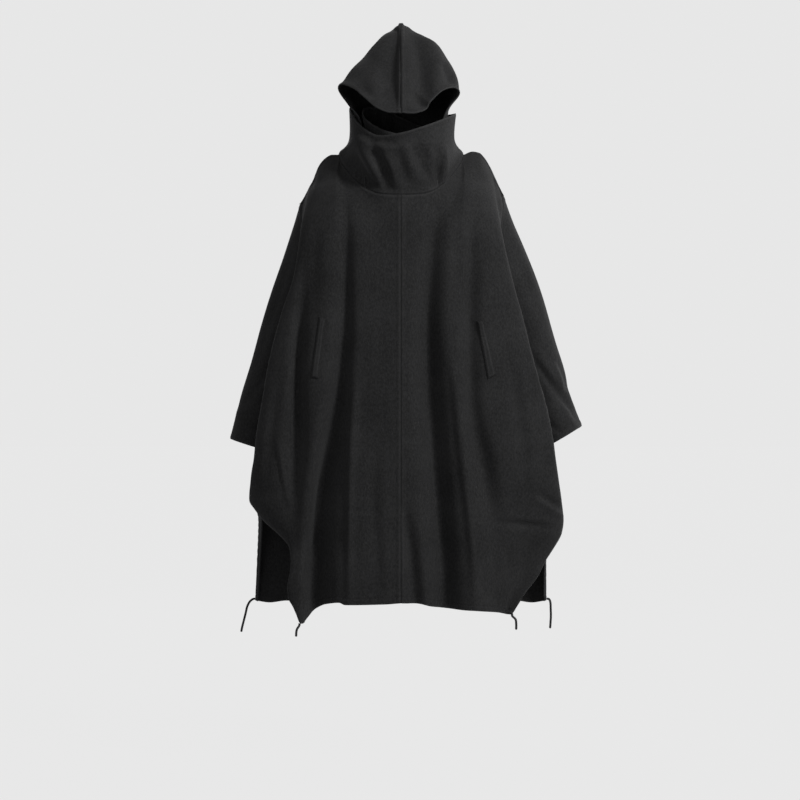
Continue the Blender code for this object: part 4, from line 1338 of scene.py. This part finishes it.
# %% The two fronts
# Each crease is a line of (x, z) places, then deep, left, right, ridge and ridge_at
FRONT_CREASES = {
    RIGHT: [
        ([(-124, -560), (-134, -690), (-139, -820), (-140, -960), (-140, -1130)], 2.0, 16, 12, 6.0, 14),
        ([(-196, -620), (-224, -800), (-234, -920), (-230, -1020)], -6.0, 18, 16),
        ([(-150, -872), (-110, -879), (-60, -876)], 1.8, 7, 10, 1.2, -9),
        ([(-312, -705), (-296, -800), (-280, -880)], 2.4, 10, 6, 2.2, 9),
        ([(-95, -230), (-100, -420), (-96, -640), (-88, -860)], 3.0, 22, 26, 1.6, -30),
        ([(-205, -170), (-212, -300), (-218, -420)], 4.0, 14, 18, 1.5, 22),
        ([(-300, -560), (-318, -690), (-330, -800)], 3.5, 14, 12, 2.0, -16),
        ([(-60, -700), (-66, -860), (-58, -1010), (-54, -1130)], 3.4, 18, 16, 2.0, 20),
    ],
    LEFT: [
        ([(106, -500), (120, -600), (134, -724), (152, -900), (161, -998), (166, -1130)], 2.0, 12, 16, 7.0, 15),
        ([(236, -905), (300, -913), (374, -921)], 5.6, 8, 13, 3.4, 12),
        ([(330, -836), (368, -858), (408, -886)], 6.0, 8, 10, 3.0, -12),
        ([(262, -470), (282, -600), (300, -740), (306, -850)], 4.0, 16, 18, 2.2, 22),
        ([(46, -260), (44, -420), (38, -600), (36, -800)], 2.6, 20, 18, 1.4, 26),
        ([(140, -160), (138, -300), (136, -420)], 3.4, 18, 16, 1.6, -22),
        ([(96, -890), (110, -1000), (118, -1140)], 3.0, 14, 14, 2.0, -18),
        ([(262, -960), (268, -1040), (262, -1120)], 3.2, 12, 14, 1.8, -16),
    ],
}
cloths, objects = {}, {}


def vent_share(piece, side):
    """0 above the vent's top and 1 below it."""
    return smooth(-piece.places[..., 2], -VENT_TOP_Z[side] - 8, -VENT_TOP_Z[side] + 8)


for side in (RIGHT, LEFT):
    piece = Cloth("wool_front_" + SIDE_NAME[side], body_panel(side, FRONT_COLS, FRONT_RETURN, 1), side)
    for line in FRONT_CREASES[side]:
        crease(piece, *line)
    slack(piece, 11 + side)
    vent = vent_share(piece, side)
    add_seam(piece, piece.off["first"], piece.off["top"], 21 + side)
    add_seam(piece, piece.off["top"], piece.off["first"], 31 + side)
    add_seam(piece, piece.off["last"], piece.off["top"], 41 + side, 1 - vent)
    add_hem(piece, piece.off["last"], piece.off["top"], 51 + side, VENT_INSET, vent)
    add_hem(piece, piece.off["bottom"], piece.off["first"], 61 + side)
    piece.look_again()
    cloths["front", side] = piece

# %% [markdown]
# ## The back
#
# The back is one wide piece from side to side. It shows behind the fronts below the cuffs, and
# its own soft pleats hang from the shoulders.

# %% The back
halves = {side: body_panel(side, BACK_COLS, BACK_RETURN, -1) for side in (RIGHT, LEFT)}
piece = Cloth("wool_back", np.concatenate([halves[RIGHT][:, :0:-1], halves[LEFT]], 1), -1)
BACK_CREASES = [
    ([(-30, -180), (-24, -420), (-16, -700), (-10, -980)], 3.4, 24, 20, 1.8, 30),
    ([(-120, -300), (-140, -560), (-160, -820)], 4.0, 18, 22, 2.0, -26),
    ([(-262, -420), (-280, -640), (-300, -900), (-318, -1090)], 4.4, 18, 16, 2.4, 24),
    ([(36, -420), (44, -700), (40, -1080)], 3.6, 20, 18, 2.2, -26),
    ([(150, -260), (176, -560), (196, -860)], 3.8, 20, 16, 2.0, 24),
    ([(270, -400), (292, -640), (310, -900), (326, -1090)], 4.2, 16, 18, 2.4, -24),
    ([(-60, -905), (0, -915), (90, -908)], 1.6, 8, 12, 1.0, -12),
]
for line in BACK_CREASES:
    crease(piece, *line, facing=1)
slack(piece, 17)
for key, side in (("first", RIGHT), ("last", LEFT)):
    vent = vent_share(piece, side)
    add_seam(piece, piece.off[key], piece.off["top"], 43 + side, 1 - vent)
    add_hem(piece, piece.off[key], piece.off["top"], 53 + side, VENT_INSET, vent)
add_seam(piece, piece.off["top"], piece.off["first"], 33)
add_hem(piece, piece.off["bottom"], piece.off["first"], 63)
piece.look_again()
cloths["back", 0] = piece

# %% [markdown]
# ## The sleeves
#
# The sleeves are wide tubes set low into the body. The sleeve on the wearer's left is bent a
# little at the elbow, which pulls one long fold across the forearm.

# %% The two sleeves
# From the armhole (way 0) to the cuff (1): outer and inner edge, and half the depth
SLEEVE = {
    RIGHT: table("""
    way outer_x outer_z inner_x inner_z half
    0 253 -119 200 -440 72
    0.06 262 -146 212 -452 70
    0.2 292 -240 228 -486 66
    0.35 322 -330 242 -532 63
    0.5 350 -425 252 -580 62
    0.65 373 -508 270 -625 62
    0.8 399 -592 290 -673 62
    1 428 -703 316 -738 63
    """),
    LEFT: table("""
    way outer_x outer_z inner_x inner_z half
    0 258 -99 205 -430 72
    0.06 271 -137 217 -442 70
    0.2 308 -227 234 -478 66
    0.35 340 -313 250 -524 63
    0.5 370 -403 264 -575 62
    0.62 389 -468 281 -615 62
    0.76 411 -546 301 -660 62
    0.83 417 -584 311 -684 62
    0.91 437 -630 323 -710 62
    1 453 -670 336 -738 63
    """),
}
SLEEVE_ROWS = 84


def sleeve(side):
    """A sleeve's rings, from the armhole to the cuff."""
    way = np.linspace(0, 1, SLEEVE_ROWS + 1)[:, None]
    angle = np.linspace(0, 2 * math.pi, 2 * ARMHOLE_ROWS + 1)[None, :-1]
    columns = "outer_x outer_z inner_x inner_z half".split()
    outer_x, outer_z, inner_x, inner_z, half = (read(SLEEVE[side], "way", column, way) for column in columns)
    across = (1 + np.cos(angle)) / 2
    x = side * (inner_x + (outer_x - inner_x) * across)
    z = inner_z + (outer_z - inner_z) * across
    y = ARMHOLE[side]["y"] - half * np.sin(angle)
    return np.stack([x, y + 0 * x, z], -1)


SLEEVE_CREASES = {
    RIGHT: [
        ([(-262, -200), (-300, -330), (-340, -450), (-372, -560)], 4.0, 16, 12, 2.2, -18),
        ([(-300, -480), (-345, -560), (-405, -640)], 3.6, 10, 14, 2.4, 14),
        ([(-330, -690), (-372, -660), (-412, -612)], 2.6, 10, 10, 1.6, 12),
    ],
    LEFT: [
        ([(322, -498), (340, -523), (374, -568), (419, -622), (450, -672)], 8.5, 9, 13, 4.0, 14),
        ([(388, -508), (400, -530), (410, -556), (412, -590)], 6.0, 8, 8, 3.0, -10),
        ([(268, -180), (308, -300), (350, -420)], 4.0, 16, 12, 2.0, 18),
        ([(330, -640), (360, -668), (404, -690)], 3.0, 10, 10, 1.6, -12),
    ],
}
for side in (RIGHT, LEFT):
    piece = Cloth("wool_sleeve_" + SIDE_NAME[side], sleeve(side), -side, closed=True, crowded=(0,))
    for line in SLEEVE_CREASES[side]:
        crease(piece, *line)
    for line in SLEEVE_CREASES[-side]:
        mirrored = [(-x, z) for x, z in line[0]]
        crease(piece, mirrored, line[1] * 0.7, line[3], line[2], line[4] * 0.7, -line[5], facing=1)
    slack(piece, 71 + side, 1.6, 170.0)
    under = np.abs(piece.off["first"] - piece.off["first"][:, ARMHOLE_ROWS : ARMHOLE_ROWS + 1])
    add_seam(piece, piece.off["top"], piece.off["first"], 81 + side)
    add_seam(piece, under, piece.off["top"], 91 + side)
    add_hem(piece, piece.off["bottom"], piece.off["first"], 101 + side)
    piece.look_again()
    cloths["sleeve", side] = piece

# %% [markdown]
# ## The collars
#
# The outer collar is a wide funnel that slumps round the chin, so its front lies in slanting
# folds. The inner collar is lower and narrower, and gathers in small pleats at its back.

# %% The outer collar
COWL = table("""
angle mid_x mid_y mid_z top_x top_y top_z
0 0 -148 -30 -2 -137 45
30 72 -131 -24 60 -125 64
60 122 -82 10 112 -80 88
90 134 -8 42 137 -22 105
120 120 68 52 122 60 112
150 70 116 58 72 114 116
180 0 130 60 0 134 118
210 -70 116 58 -70 114 120
240 -117 68 52 -116 62 122
270 -130 -8 42 -129 -14 120
300 -116 -87 8 -109 -80 78
330 -68 -133 -26 -62 -119 42
""")
COWL_PLEATS = {
    "left wedge": table("""
    z x deep out inward
    -86 -92 6 12 16
    -40 -118 6 12 16
    0 -128 0 12 16
    """),
    "long fold": table("""
    z x deep out inward
    -96 -20 3 12 7
    -60 -28 9 12 7
    -10 -48 9 12 8
    24 -60 0 12 8
    """),
    "middle fold": table("""
    z x deep out inward
    -80 78 2 9 12
    -40 58 6 9 12
    10 28 5 9 12
    30 18 0 9 12
    """),
    "side fold": table("""
    z x deep out inward
    -86 92 3 6 10
    -40 98 8 6 10
    0 104 0 6 10
    """),
}
COWL_ROWS = 66
COLLAR_STEP = 30.0  # degrees between the rows of a collar's table


def ring_rows(source, neck_row, rows):
    """A collar: its neck edge, its half height and its top edge, with rows between them."""
    angle = np.arange(RING) * 360.0 / RING
    levels = [neck_row]
    for level in ("mid", "top"):
        net = np.stack([source[level + axis] for axis in ("_x", "_y", "_z")], -1)
        wrapped = np.concatenate([net[-2:], net, net[:3]])
        levels.append(spline(wrapped, angle / COLLAR_STEP + 2))
    return spline(np.array(levels), np.linspace(0, 2, rows + 1))


def cowl_rows(neck_row):
    """The outer collar, with its folds pressed in towards the neck."""
    places = ring_rows(COWL, neck_row, COWL_ROWS)
    front = places[..., 1] < -30
    press = pleat_depth(COWL_PLEATS, places[..., 0], places[..., 2])
    rise = np.linspace(0, 1, COWL_ROWS + 1)[:, None]
    press = np.where(front, press, 0.0) * np.sin(np.clip(rise * 1.15, 0, 1) * math.pi) ** 0.5
    inward = -places * np.array([1, 1, 0])
    inward /= np.linalg.norm(inward, axis=-1, keepdims=True)
    return places + inward * press[..., None]


ring = neck_ring(np.arange(RING) * 360.0 / RING)
piece = Cloth("wool_collar_outer", cowl_rows(ring), -1, closed=True, crowded=(0,))
COWL_CREASES = [
    ([(-128, 24), (-112, -14), (-88, -56), (-62, -96)], 11.0, 22, 15, 5.0, 20),
    ([(-74, 30), (-64, -10), (-46, -50), (-30, -98)], 9.0, 14, 11, 5.0, 18),
    ([(-14, 18), (0, -28), (18, -84)], 6.0, 16, 14, 3.4, 20),
    ([(34, 30), (54, -4), (72, -40), (82, -90)], 6.0, 18, 13, 3.0, 20),
    ([(90, 20), (92, -22), (88, -88)], 8.0, 12, 10, 5.0, 16),
    ([(-112, 58), (-70, 28), (-10, 20), (60, 38)], 4.6, 10, 12, 3.6, -14),
    ([(-122, -28), (-128, -62), (-118, -96)], 6.0, 9, 9, 4.0, 12),
]
for line in COWL_CREASES:
    crease(piece, *line)
slack(piece, 111, 1.0, 120.0)
add_seam(piece, piece.off["top"], piece.off["first"], 113)
add_hem(piece, piece.off["bottom"], piece.off["first"], 115, COLLAR_INSET)
piece.look_again()
cloths["collar_outer", 0] = piece
cowl_out = normals(cowl_rows(ring), True, -1)[0]

# %% The inner collar
WALL, GAP = 1.7, 0.3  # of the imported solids, which set how the collars and the hood nest
COLLAR = table("""
angle mid_x mid_y mid_z top_x top_y top_z
0 0 -118 -34 -5 -112 44
30 55 -102 -32 50 -98 32
60 82 -62 -8 76 -60 30
90 92 -8 22 88 -8 42
120 78 38 38 77 40 62
150 44 66 52 42 68 88
180 0 78 62 0 82 108
210 -44 66 66 -40 67 127
240 -78 38 60 -76 40 128
270 -92 -8 44 -97 -8 115
300 -83 -60 6 -88 -60 87
330 -53 -100 -22 -48 -98 58
""")
COLLAR_ROWS = 44
GATHERS, GATHER_HIGH = 14, 2.6
inside = ring - cowl_out * 2 * (WALL + GAP)
piece = Cloth("wool_collar_inner", ring_rows(COLLAR, inside, COLLAR_ROWS), -1, closed=True, crowded=(0,))
turn = np.arange(RING)[None, :] * 2 * math.pi / RING
rise = np.linspace(0, 1, COLLAR_ROWS + 1)[:, None]
at_back = np.clip(-np.cos(turn), 0, 1) ** 0.6
gathers = GATHER_HIGH * np.sin(GATHERS * turn + 1.7 * np.sin(3 * turn))
piece.lift(gathers * at_back * np.sin(math.pi * np.clip(rise * 0.9, 0, 1)))
piece.look_again()
add_hem(piece, piece.off["bottom"], piece.off["first"], 117, COLLAR_INSET)
piece.look_again()
cloths["collar_inner", 0] = piece

# %% [markdown]
# ## The hood
#
# Two halves meet in a seam over the head. The face edge is a soft brim that droops over the
# forehead and flares at the ears. Each half is a net through five lines: face, cheek, crown, nape
# and centre back.

# %% The two halves of the hood
HOOD = {
    RIGHT: table("""
    way face_x face_y face_z cheek_x cheek_y cheek_z crown_x crown_y crown_z nape_x nape_y nape_z back_y back_z
    0.12 94 -78 26 112 -26 40 108 32 50 70 80 62 102 76
    0.22 104 -58 88 113 -16 92 110 34 102 72 88 114 110 128
    0.29 130 -52 122 122 -12 124 116 36 134 75 93 150 118 166
    0.38 156 -52 160 141 -12 156 128 36 166 80 98 184 124 202
    0.5 148 -60 176 138 -24 192 112 32 214 68 88 232 112 256
    0.64 110 -106 155 112 -46 214 92 12 250 60 64 268 92 288
    0.78 71 -135 115 84 -76 204 70 -10 272 44 40 298 62 313
    0.9 34 -148 97 42 -98 190 42 -30 288 26 18 318 36 328
    1 0 -151 93 0 -112 184 0 -48 284 0 -6 324 15 337
    """),
    LEFT: table("""
    way face_x face_y face_z cheek_x cheek_y cheek_z crown_x crown_y crown_z nape_x nape_y nape_z back_y back_z
    0.12 98 -80 22 115 -26 38 108 32 50 70 80 62 102 76
    0.22 106 -56 84 115 -16 90 112 34 102 72 88 114 110 128
    0.29 118 -52 114 119 -12 118 118 36 134 75 93 150 118 166
    0.38 146 -52 150 138 -12 150 128 36 166 80 98 184 124 202
    0.5 136 -66 165 142 -32 182 118 32 214 68 88 232 112 256
    0.64 110 -95 157 126 -44 210 110 12 252 70 64 268 92 288
    0.78 78 -126 130 96 -74 208 90 -8 276 58 40 296 62 313
    0.9 44 -146 96 54 -98 190 54 -30 288 34 18 316 36 328
    1 0 -151 93 0 -112 184 0 -48 284 0 -6 324 15 337
    """),
}
HOOD_ROWS = 104
HOOD_FROM_DEG = 40
CROWN_ROUND = 3.0  # widens the peak of the hood where its seams meet


def hood_half(side, neck_row):
    """One half of the hood, from its neck edge up to the seam over the head."""
    source = HOOD[side]
    columns = len(neck_row) - 1
    parts = ("face", "cheek", "crown", "nape", "back")
    net = []
    for k in range(len(source["way"])):
        row = [
            (side * source[p + "_x"][k] if p != "back" else 0.0, source[p + "_y"][k], source[p + "_z"][k])
            for p in parts
        ]
        net.append(spline(row, np.linspace(0, len(parts) - 1, columns + 1)))
    ways = np.concatenate([[0.0], source["way"]])
    net = np.array([neck_row] + net)
    rows = np.linspace(0, 1, HOOD_ROWS + 1)
    places = spline(net, np.interp(rows, ways, np.arange(len(ways))))
    near_top = (8 * (1 - rows))[:, None] ** 2
    near_back = (9.33 * (1 - np.linspace(0, 1, columns + 1)))[None, :] ** 2
    places[..., 0] *= 1 + CROWN_ROUND * np.exp(-near_top - near_back)
    return places


HOOD_CREASES = {
    RIGHT: [
        ([(-10, 322), (-24, 250), (-29, 190), (-24, 140), (-10, 100)], 14.0, 28, 19, 3.0, -44),
        ([(-66, 250), (-92, 205), (-122, 172)], 5.0, 18, 18, 3.4, -24),
        ([(-30, 150), (-66, 138), (-104, 158)], 4.4, 12, 12, 2.6, 14),
    ],
    LEFT: [
        ([(26, 322), (42, 276), (50, 214), (52, 160), (44, 100)], 20.0, 20, 26, 7.0, 36),
        ([(26, 150), (48, 118), (72, 104)], 5.0, 10, 10, 3.0, 12),
        ([(100, 232), (116, 200), (124, 170)], 4.6, 12, 12, 3.4, 14),
    ],
}
inside = ring - cowl_out * (WALL + GAP)
first = HOOD_FROM_DEG * RING // 360
for side in (RIGHT, LEFT):
    row = inside[[(side * c) % RING for c in range(first, RING // 2 + 1)]]
    piece = Cloth("wool_hood_" + SIDE_NAME[side], hood_half(side, row), -side)
    for line in HOOD_CREASES[side]:
        crease(piece, *line)
    slack(piece, 121 + side, 0.9, 140.0)
    add_seam(piece, piece.off["bottom"], piece.off["first"], 131 + side, high=2.2)
    add_seam(piece, piece.off["last"], piece.off["top"], 141 + side)
    add_hem(piece, piece.off["first"], piece.off["top"], 151 + side, COLLAR_INSET)
    piece.look_again()
    cloths["hood", side] = piece

# %% [markdown]
# ## Making the cloth
#
# Every net becomes a wall of wool and takes the place of the plain solid. A sheet's flat size is
# its cut: for a tube such as a sleeve or a collar that is the size all round. Where the cut isn't
# a rectangle, its area in square metres is given as well.

# %% Turn the nets into cloth and state their cuts
CUTS = {
    ("front", RIGHT): ("front_right", (0.60, 1.22), 0.478),
    ("front", LEFT): ("front_left", (0.60, 1.21), 0.493),
    ("back", 0): ("back", (1.12, 1.20), 1.006),
    ("sleeve", RIGHT): ("sleeve_right", (0.76, 0.61), 0.193),
    ("sleeve", LEFT): ("sleeve_left", (0.78, 0.61), 0.206),
    ("hood", RIGHT): ("hood_right", (0.36, 0.43), 0.104),
    ("hood", LEFT): ("hood_left", (0.36, 0.43), 0.104),
    ("collar_outer", 0): ("collar_outer", (0.84, 0.16), 0.106),
    ("collar_inner", 0): ("collar_inner", (0.60, 0.17), 0.077),
}
for key, (node, flat, area) in CUTS.items():
    objects[key] = cloth_wall(cloths[key], wool_finish)
    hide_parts(node)

# %% [markdown]
# ## Pocket welts
#
# Each pocket opens under a narrow upright welt, a folded strip of the same wool. It lies on the
# front, so its net is dropped onto the front's mesh by casting rays from the camera's side, and
# then lifted. The mouth is along its outer edge, where the front is pressed in.

# %% The two welts
WELT = {
    RIGHT: {"in_top": (184, -410), "out_top": (199, -405), "in_low": (202, -555), "out_low": (219, -551)},
    LEFT: {"in_top": (186, -415), "out_top": (201, -412), "in_low": (212, -556), "out_low": (231, -546)},
}
WELT_COLS, WELT_ROWS = 14, 56
WELT_WALL, WELT_LOW, WELT_HIGH = 2.6, 1.9, 1.6


def front_finder(obj):
    """A search tree over a front, to find its face from straight ahead."""
    mesh = obj.data
    return BVHTree.FromPolygons([v.co for v in mesh.vertices], [tuple(p.vertices) for p in mesh.polygons])


for side in (RIGHT, LEFT):
    tree = front_finder(objects["front", side])
    corners = {name: np.array(place, float) for name, place in WELT[side].items()}
    across = np.linspace(0, 1, WELT_COLS + 1)[None, :, None]
    down = np.linspace(0, 1, WELT_ROWS + 1)[:, None, None]
    top = corners["in_top"] * (1 - across) + corners["out_top"] * across
    low = corners["in_low"] * (1 - across) + corners["out_low"] * across
    seen = top * (1 - down) + low * down
    y = np.array([
        [tree.ray_cast(Vector((side * x * MM, -1.0, z * MM)), Vector((0, 1, 0)))[0].y / MM for x, z in row]
        for row in seen
    ])
    places = np.stack([side * seen[..., 0], y, seen[..., 1]], -1)
    piece = Cloth("wool_welt_" + SIDE_NAME[side], places, side, crowded=(), wall=WELT_WALL)
    nearest = np.minimum.reduce(list(piece.off.values()))
    groove = 0.5 * np.exp(-(((nearest - WELT_INSET) / 0.8) ** 2))
    piece.lift(WELT_LOW + WELT_HIGH * smooth(nearest, 0, 4.0) - groove)
    # Painted highlight: a paler band along the raised crown of the welt, 5 mm in from its edge.
    piece.worn = np.exp(-(((nearest - 5.0) / 1.6) ** 2))
    # Painted shadow: a near-black rim all round the welt, where it meets the front.
    piece.seam = 1 - smooth(nearest, 1.0, 2.8)
    piece.look_again()
    cloths["welt", side] = piece
    objects["welt", side] = cloth_wall(piece, wool_finish)
    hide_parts("welt_" + SIDE_NAME[side])

# %% [markdown]
# ## Topstitching
#
# Hems, vents and the welts are stitched through with a matching thread. Painted dots would do
# from afar, but close up a stitch is a short round hump that sinks into the cloth at both ends.
# One small stitch is made as a pattern and set along each line, so the thread is real mesh.

# %% Thread finish
thread_finish, thread_shader, start = new_finish("charcoal_thread", roughness=0.5, sheen_weight=0.1)
twist = start.node("TexCoord", output="Object").noise(0.0004, 2.0, 0.6, (1.0, 1.0, 0.5))
feed(
    thread_shader,
    base_color=twist.tint((0.008, 0.008, 0.0085), (0.022, 0.022, 0.023)),
    normal=twist.node("Bump", {}, {"Strength": 0.5, "Distance": 0.0001, "Height": twist}),
)
print("finish", thread_finish.name)

# %% Stitches set along a line
STITCH_STEP, STITCH_HALF, THREAD_HALF = 3.8, 1.5, 0.33
SIDES = 5


def line_in(piece, edge, inset):
    """The places and ways out along an edge of a piece, a little way in from it."""
    axis = 0 if edge in ("top", "bottom") else 1
    grids = [np.moveaxis(grid, axis, 0) for grid in (piece.places, piece.out)]
    if edge in ("bottom", "last"):
        grids = [grid[::-1] for grid in grids]
    run = along(grids[0])
    lines = np.arange(run.shape[1])
    where = np.array([np.interp(inset, run[:, k], np.arange(len(run))) for k in lines])
    first = np.floor(where).astype(int)
    t = (where - first)[:, None]
    return [(1 - t) * grid[first, lines] + t * grid[first + 1, lines] for grid in grids]


def stitches(name, lines):
    """One mesh of thread: a rounded stitch every few millimetres along each line."""
    steps = np.array([(-1, 0, -0.6), (-0.62, 0.8, 0.05), (0, 1, 0.2), (0.62, 0.8, 0.05), (1, 0, -0.6)])
    turn = np.arange(SIDES) * 2 * math.pi / SIDES
    shape = [(steps[0, 0], 0, 0, steps[0, 2])]
    for s, radius, high in steps[1:4]:
        shape += [(s, radius * math.cos(a), radius * math.sin(a), high) for a in turn]
    shape.append((steps[4, 0], 0, 0, steps[4, 2]))
    shape = np.array(shape)
    end = len(shape) - 1
    faces = [(0, 1 + (k + 1) % SIDES, 1 + k) for k in range(SIDES)]
    for ring_at in (1, 1 + SIDES):
        for k in range(SIDES):
            n = (k + 1) % SIDES
            faces.append((ring_at + k, ring_at + n, ring_at + SIDES + n, ring_at + SIDES + k))
    faces += [(end - SIDES + k, end - SIDES + (k + 1) % SIDES, end) for k in range(SIDES)]
    places, quads, count = [], [], 0
    for line, out in lines:
        run = run_of(line)
        at = np.arange(STITCH_STEP, run[-1] - STITCH_STEP, STITCH_STEP)
        middle, up = read_run(at, run, line), unit(read_run(at, run, out))
        way = unit(read_run(at + 1, run, line) - read_run(at - 1, run, line))
        across = np.cross(way, up)
        s, a, b, high = shape.T[:, None, :, None]
        stitch = middle[:, None] + way[:, None] * s * STITCH_HALF + across[:, None] * a * THREAD_HALF
        stitch = stitch + up[:, None] * (b * THREAD_HALF + high)
        places.append(stitch.reshape(-1, 3))
        for n in range(len(at)):
            quads += [tuple(count + n * len(shape) + v for v in face) for face in faces]
        count += len(at) * len(shape)
    print(name, "has", len(quads) // len(faces), "stitches")
    return new_object(name, np.concatenate(places), quads, thread_finish)


def below_vent(line, side):
    """The part of a line that runs along the free edge of a vent."""
    keep = line[0][:, 2] < VENT_TOP_Z[side] - 10
    return [grid[keep] for grid in line]


# %% Where the thread runs
THREADED = {
    "front": (("bottom", HEM_INSET), ("last", VENT_INSET)),
    "back": (("bottom", HEM_INSET), ("first", VENT_INSET), ("last", VENT_INSET)),
    "sleeve": (("bottom", HEM_INSET),),
    "collar_outer": (("bottom", COLLAR_INSET),),
    "collar_inner": (("bottom", COLLAR_INSET),),
    "hood": (("first", COLLAR_INSET),),
    "welt": (("first", WELT_INSET), ("last", WELT_INSET), ("top", WELT_INSET), ("bottom", WELT_INSET)),
}
for (kind, side), piece in cloths.items():
    lines = []
    for edge, inset in THREADED[kind]:
        line = line_in(piece, edge, inset)
        if inset == VENT_INSET:
            line = below_vent(line, side or {"first": RIGHT, "last": LEFT}[edge])
        lines.append(line)
    stitches("thread" + piece.name[4:], lines)

# %% State every cut
CUTS["welt", RIGHT] = CUTS["welt", LEFT] = (None, (0.016, 0.148), None)
for key, (node, flat, area) in CUTS.items():
    print(objects[key].name, "was cut from", flat)

# %% [markdown]
# ## Floor, backdrop and light
#
# The coat hangs in a pale room with no shadows of its own. The floor glows as the backdrop does,
# so that they meet without a line, and a switch on the light path keeps that glow from washing
# the folds out. One soft lamp stands in front on the right and above, a weaker one on the left
# keeps the far sleeve readable, and two behind light the edges.

# %% A pale floor and a pale room
PALE, DIM = (0.80, 0.80, 0.80), (0.210, 0.210, 0.213)


def pale_where_seen(start):
    """A pale tone to look at, that lights the coat no more than a dim room does."""
    return start.node("LightPath", output="Is Camera Ray").tint(DIM, PALE)


room = bpy.data.worlds.new("pale_room")
room.use_nodes = True
glow = pale_where_seen(Shade(room.node_tree))
room.node_tree.links.new(glow.socket, room.node_tree.nodes["Background"].inputs["Color"])
bpy.context.scene.world = room
bpy.context.scene.view_settings.view_transform = "Standard"

FLOOR_HALF, FLOOR_Z = 40, -1.5
floor_finish, floor_shader, start = new_finish("pale_floor", base_color=(0.01, 0.01, 0.01, 1.0), roughness=1.0)
floor_shader.inputs["Emission Strength"].default_value = 1.0
floor_shader.inputs["Specular IOR Level"].default_value = 0.0
feed(floor_shader, emission_color=pale_where_seen(start))
floor_mesh = bpy.data.meshes.new("studio_floor")
floor_corners = [(FLOOR_HALF * x, FLOOR_HALF * y, FLOOR_Z) for x, y in ((-1, -1), (1, -1), (1, 1), (-1, 1))]
floor_mesh.from_pydata(floor_corners, [], [(0, 1, 2, 3)])
floor_mesh.materials.append(floor_finish)
floor = bpy.data.objects.new("studio_floor", floor_mesh)
bpy.context.scene.collection.objects.link(floor)


# %% Soft lamps
def soft_lamp(name, place, aim, size, power):
    """A square lamp that faces a place on the coat."""
    lamp = bpy.data.lights.new(name, "AREA")
    lamp.shape, lamp.size, lamp.energy = "SQUARE", size, power
    obj = bpy.data.objects.new(name, lamp)
    obj.location = place
    obj.rotation_euler = (Vector(aim) - Vector(place)).to_track_quat("-Z", "Y").to_euler()
    bpy.context.scene.collection.objects.link(obj)
    return obj


soft_lamp("key_lamp", (3.4, -2.7, 2.4), (0, 0, -0.45), 0.8, 166.0)
soft_lamp("fill_lamp", (-1.6, -4.7, -0.1), (0, 0, -0.5), 1.4, 15.0)
soft_lamp("edge_lamp", (3.0, 2.6, 0.9), (0, 0, -0.5), 1.2, 32.0)
soft_lamp("rear_lamp", (-0.8, 4.6, 1.2), (0, 0, -0.6), 1.8, 60.0)
print("lamps", len(bpy.data.lights))
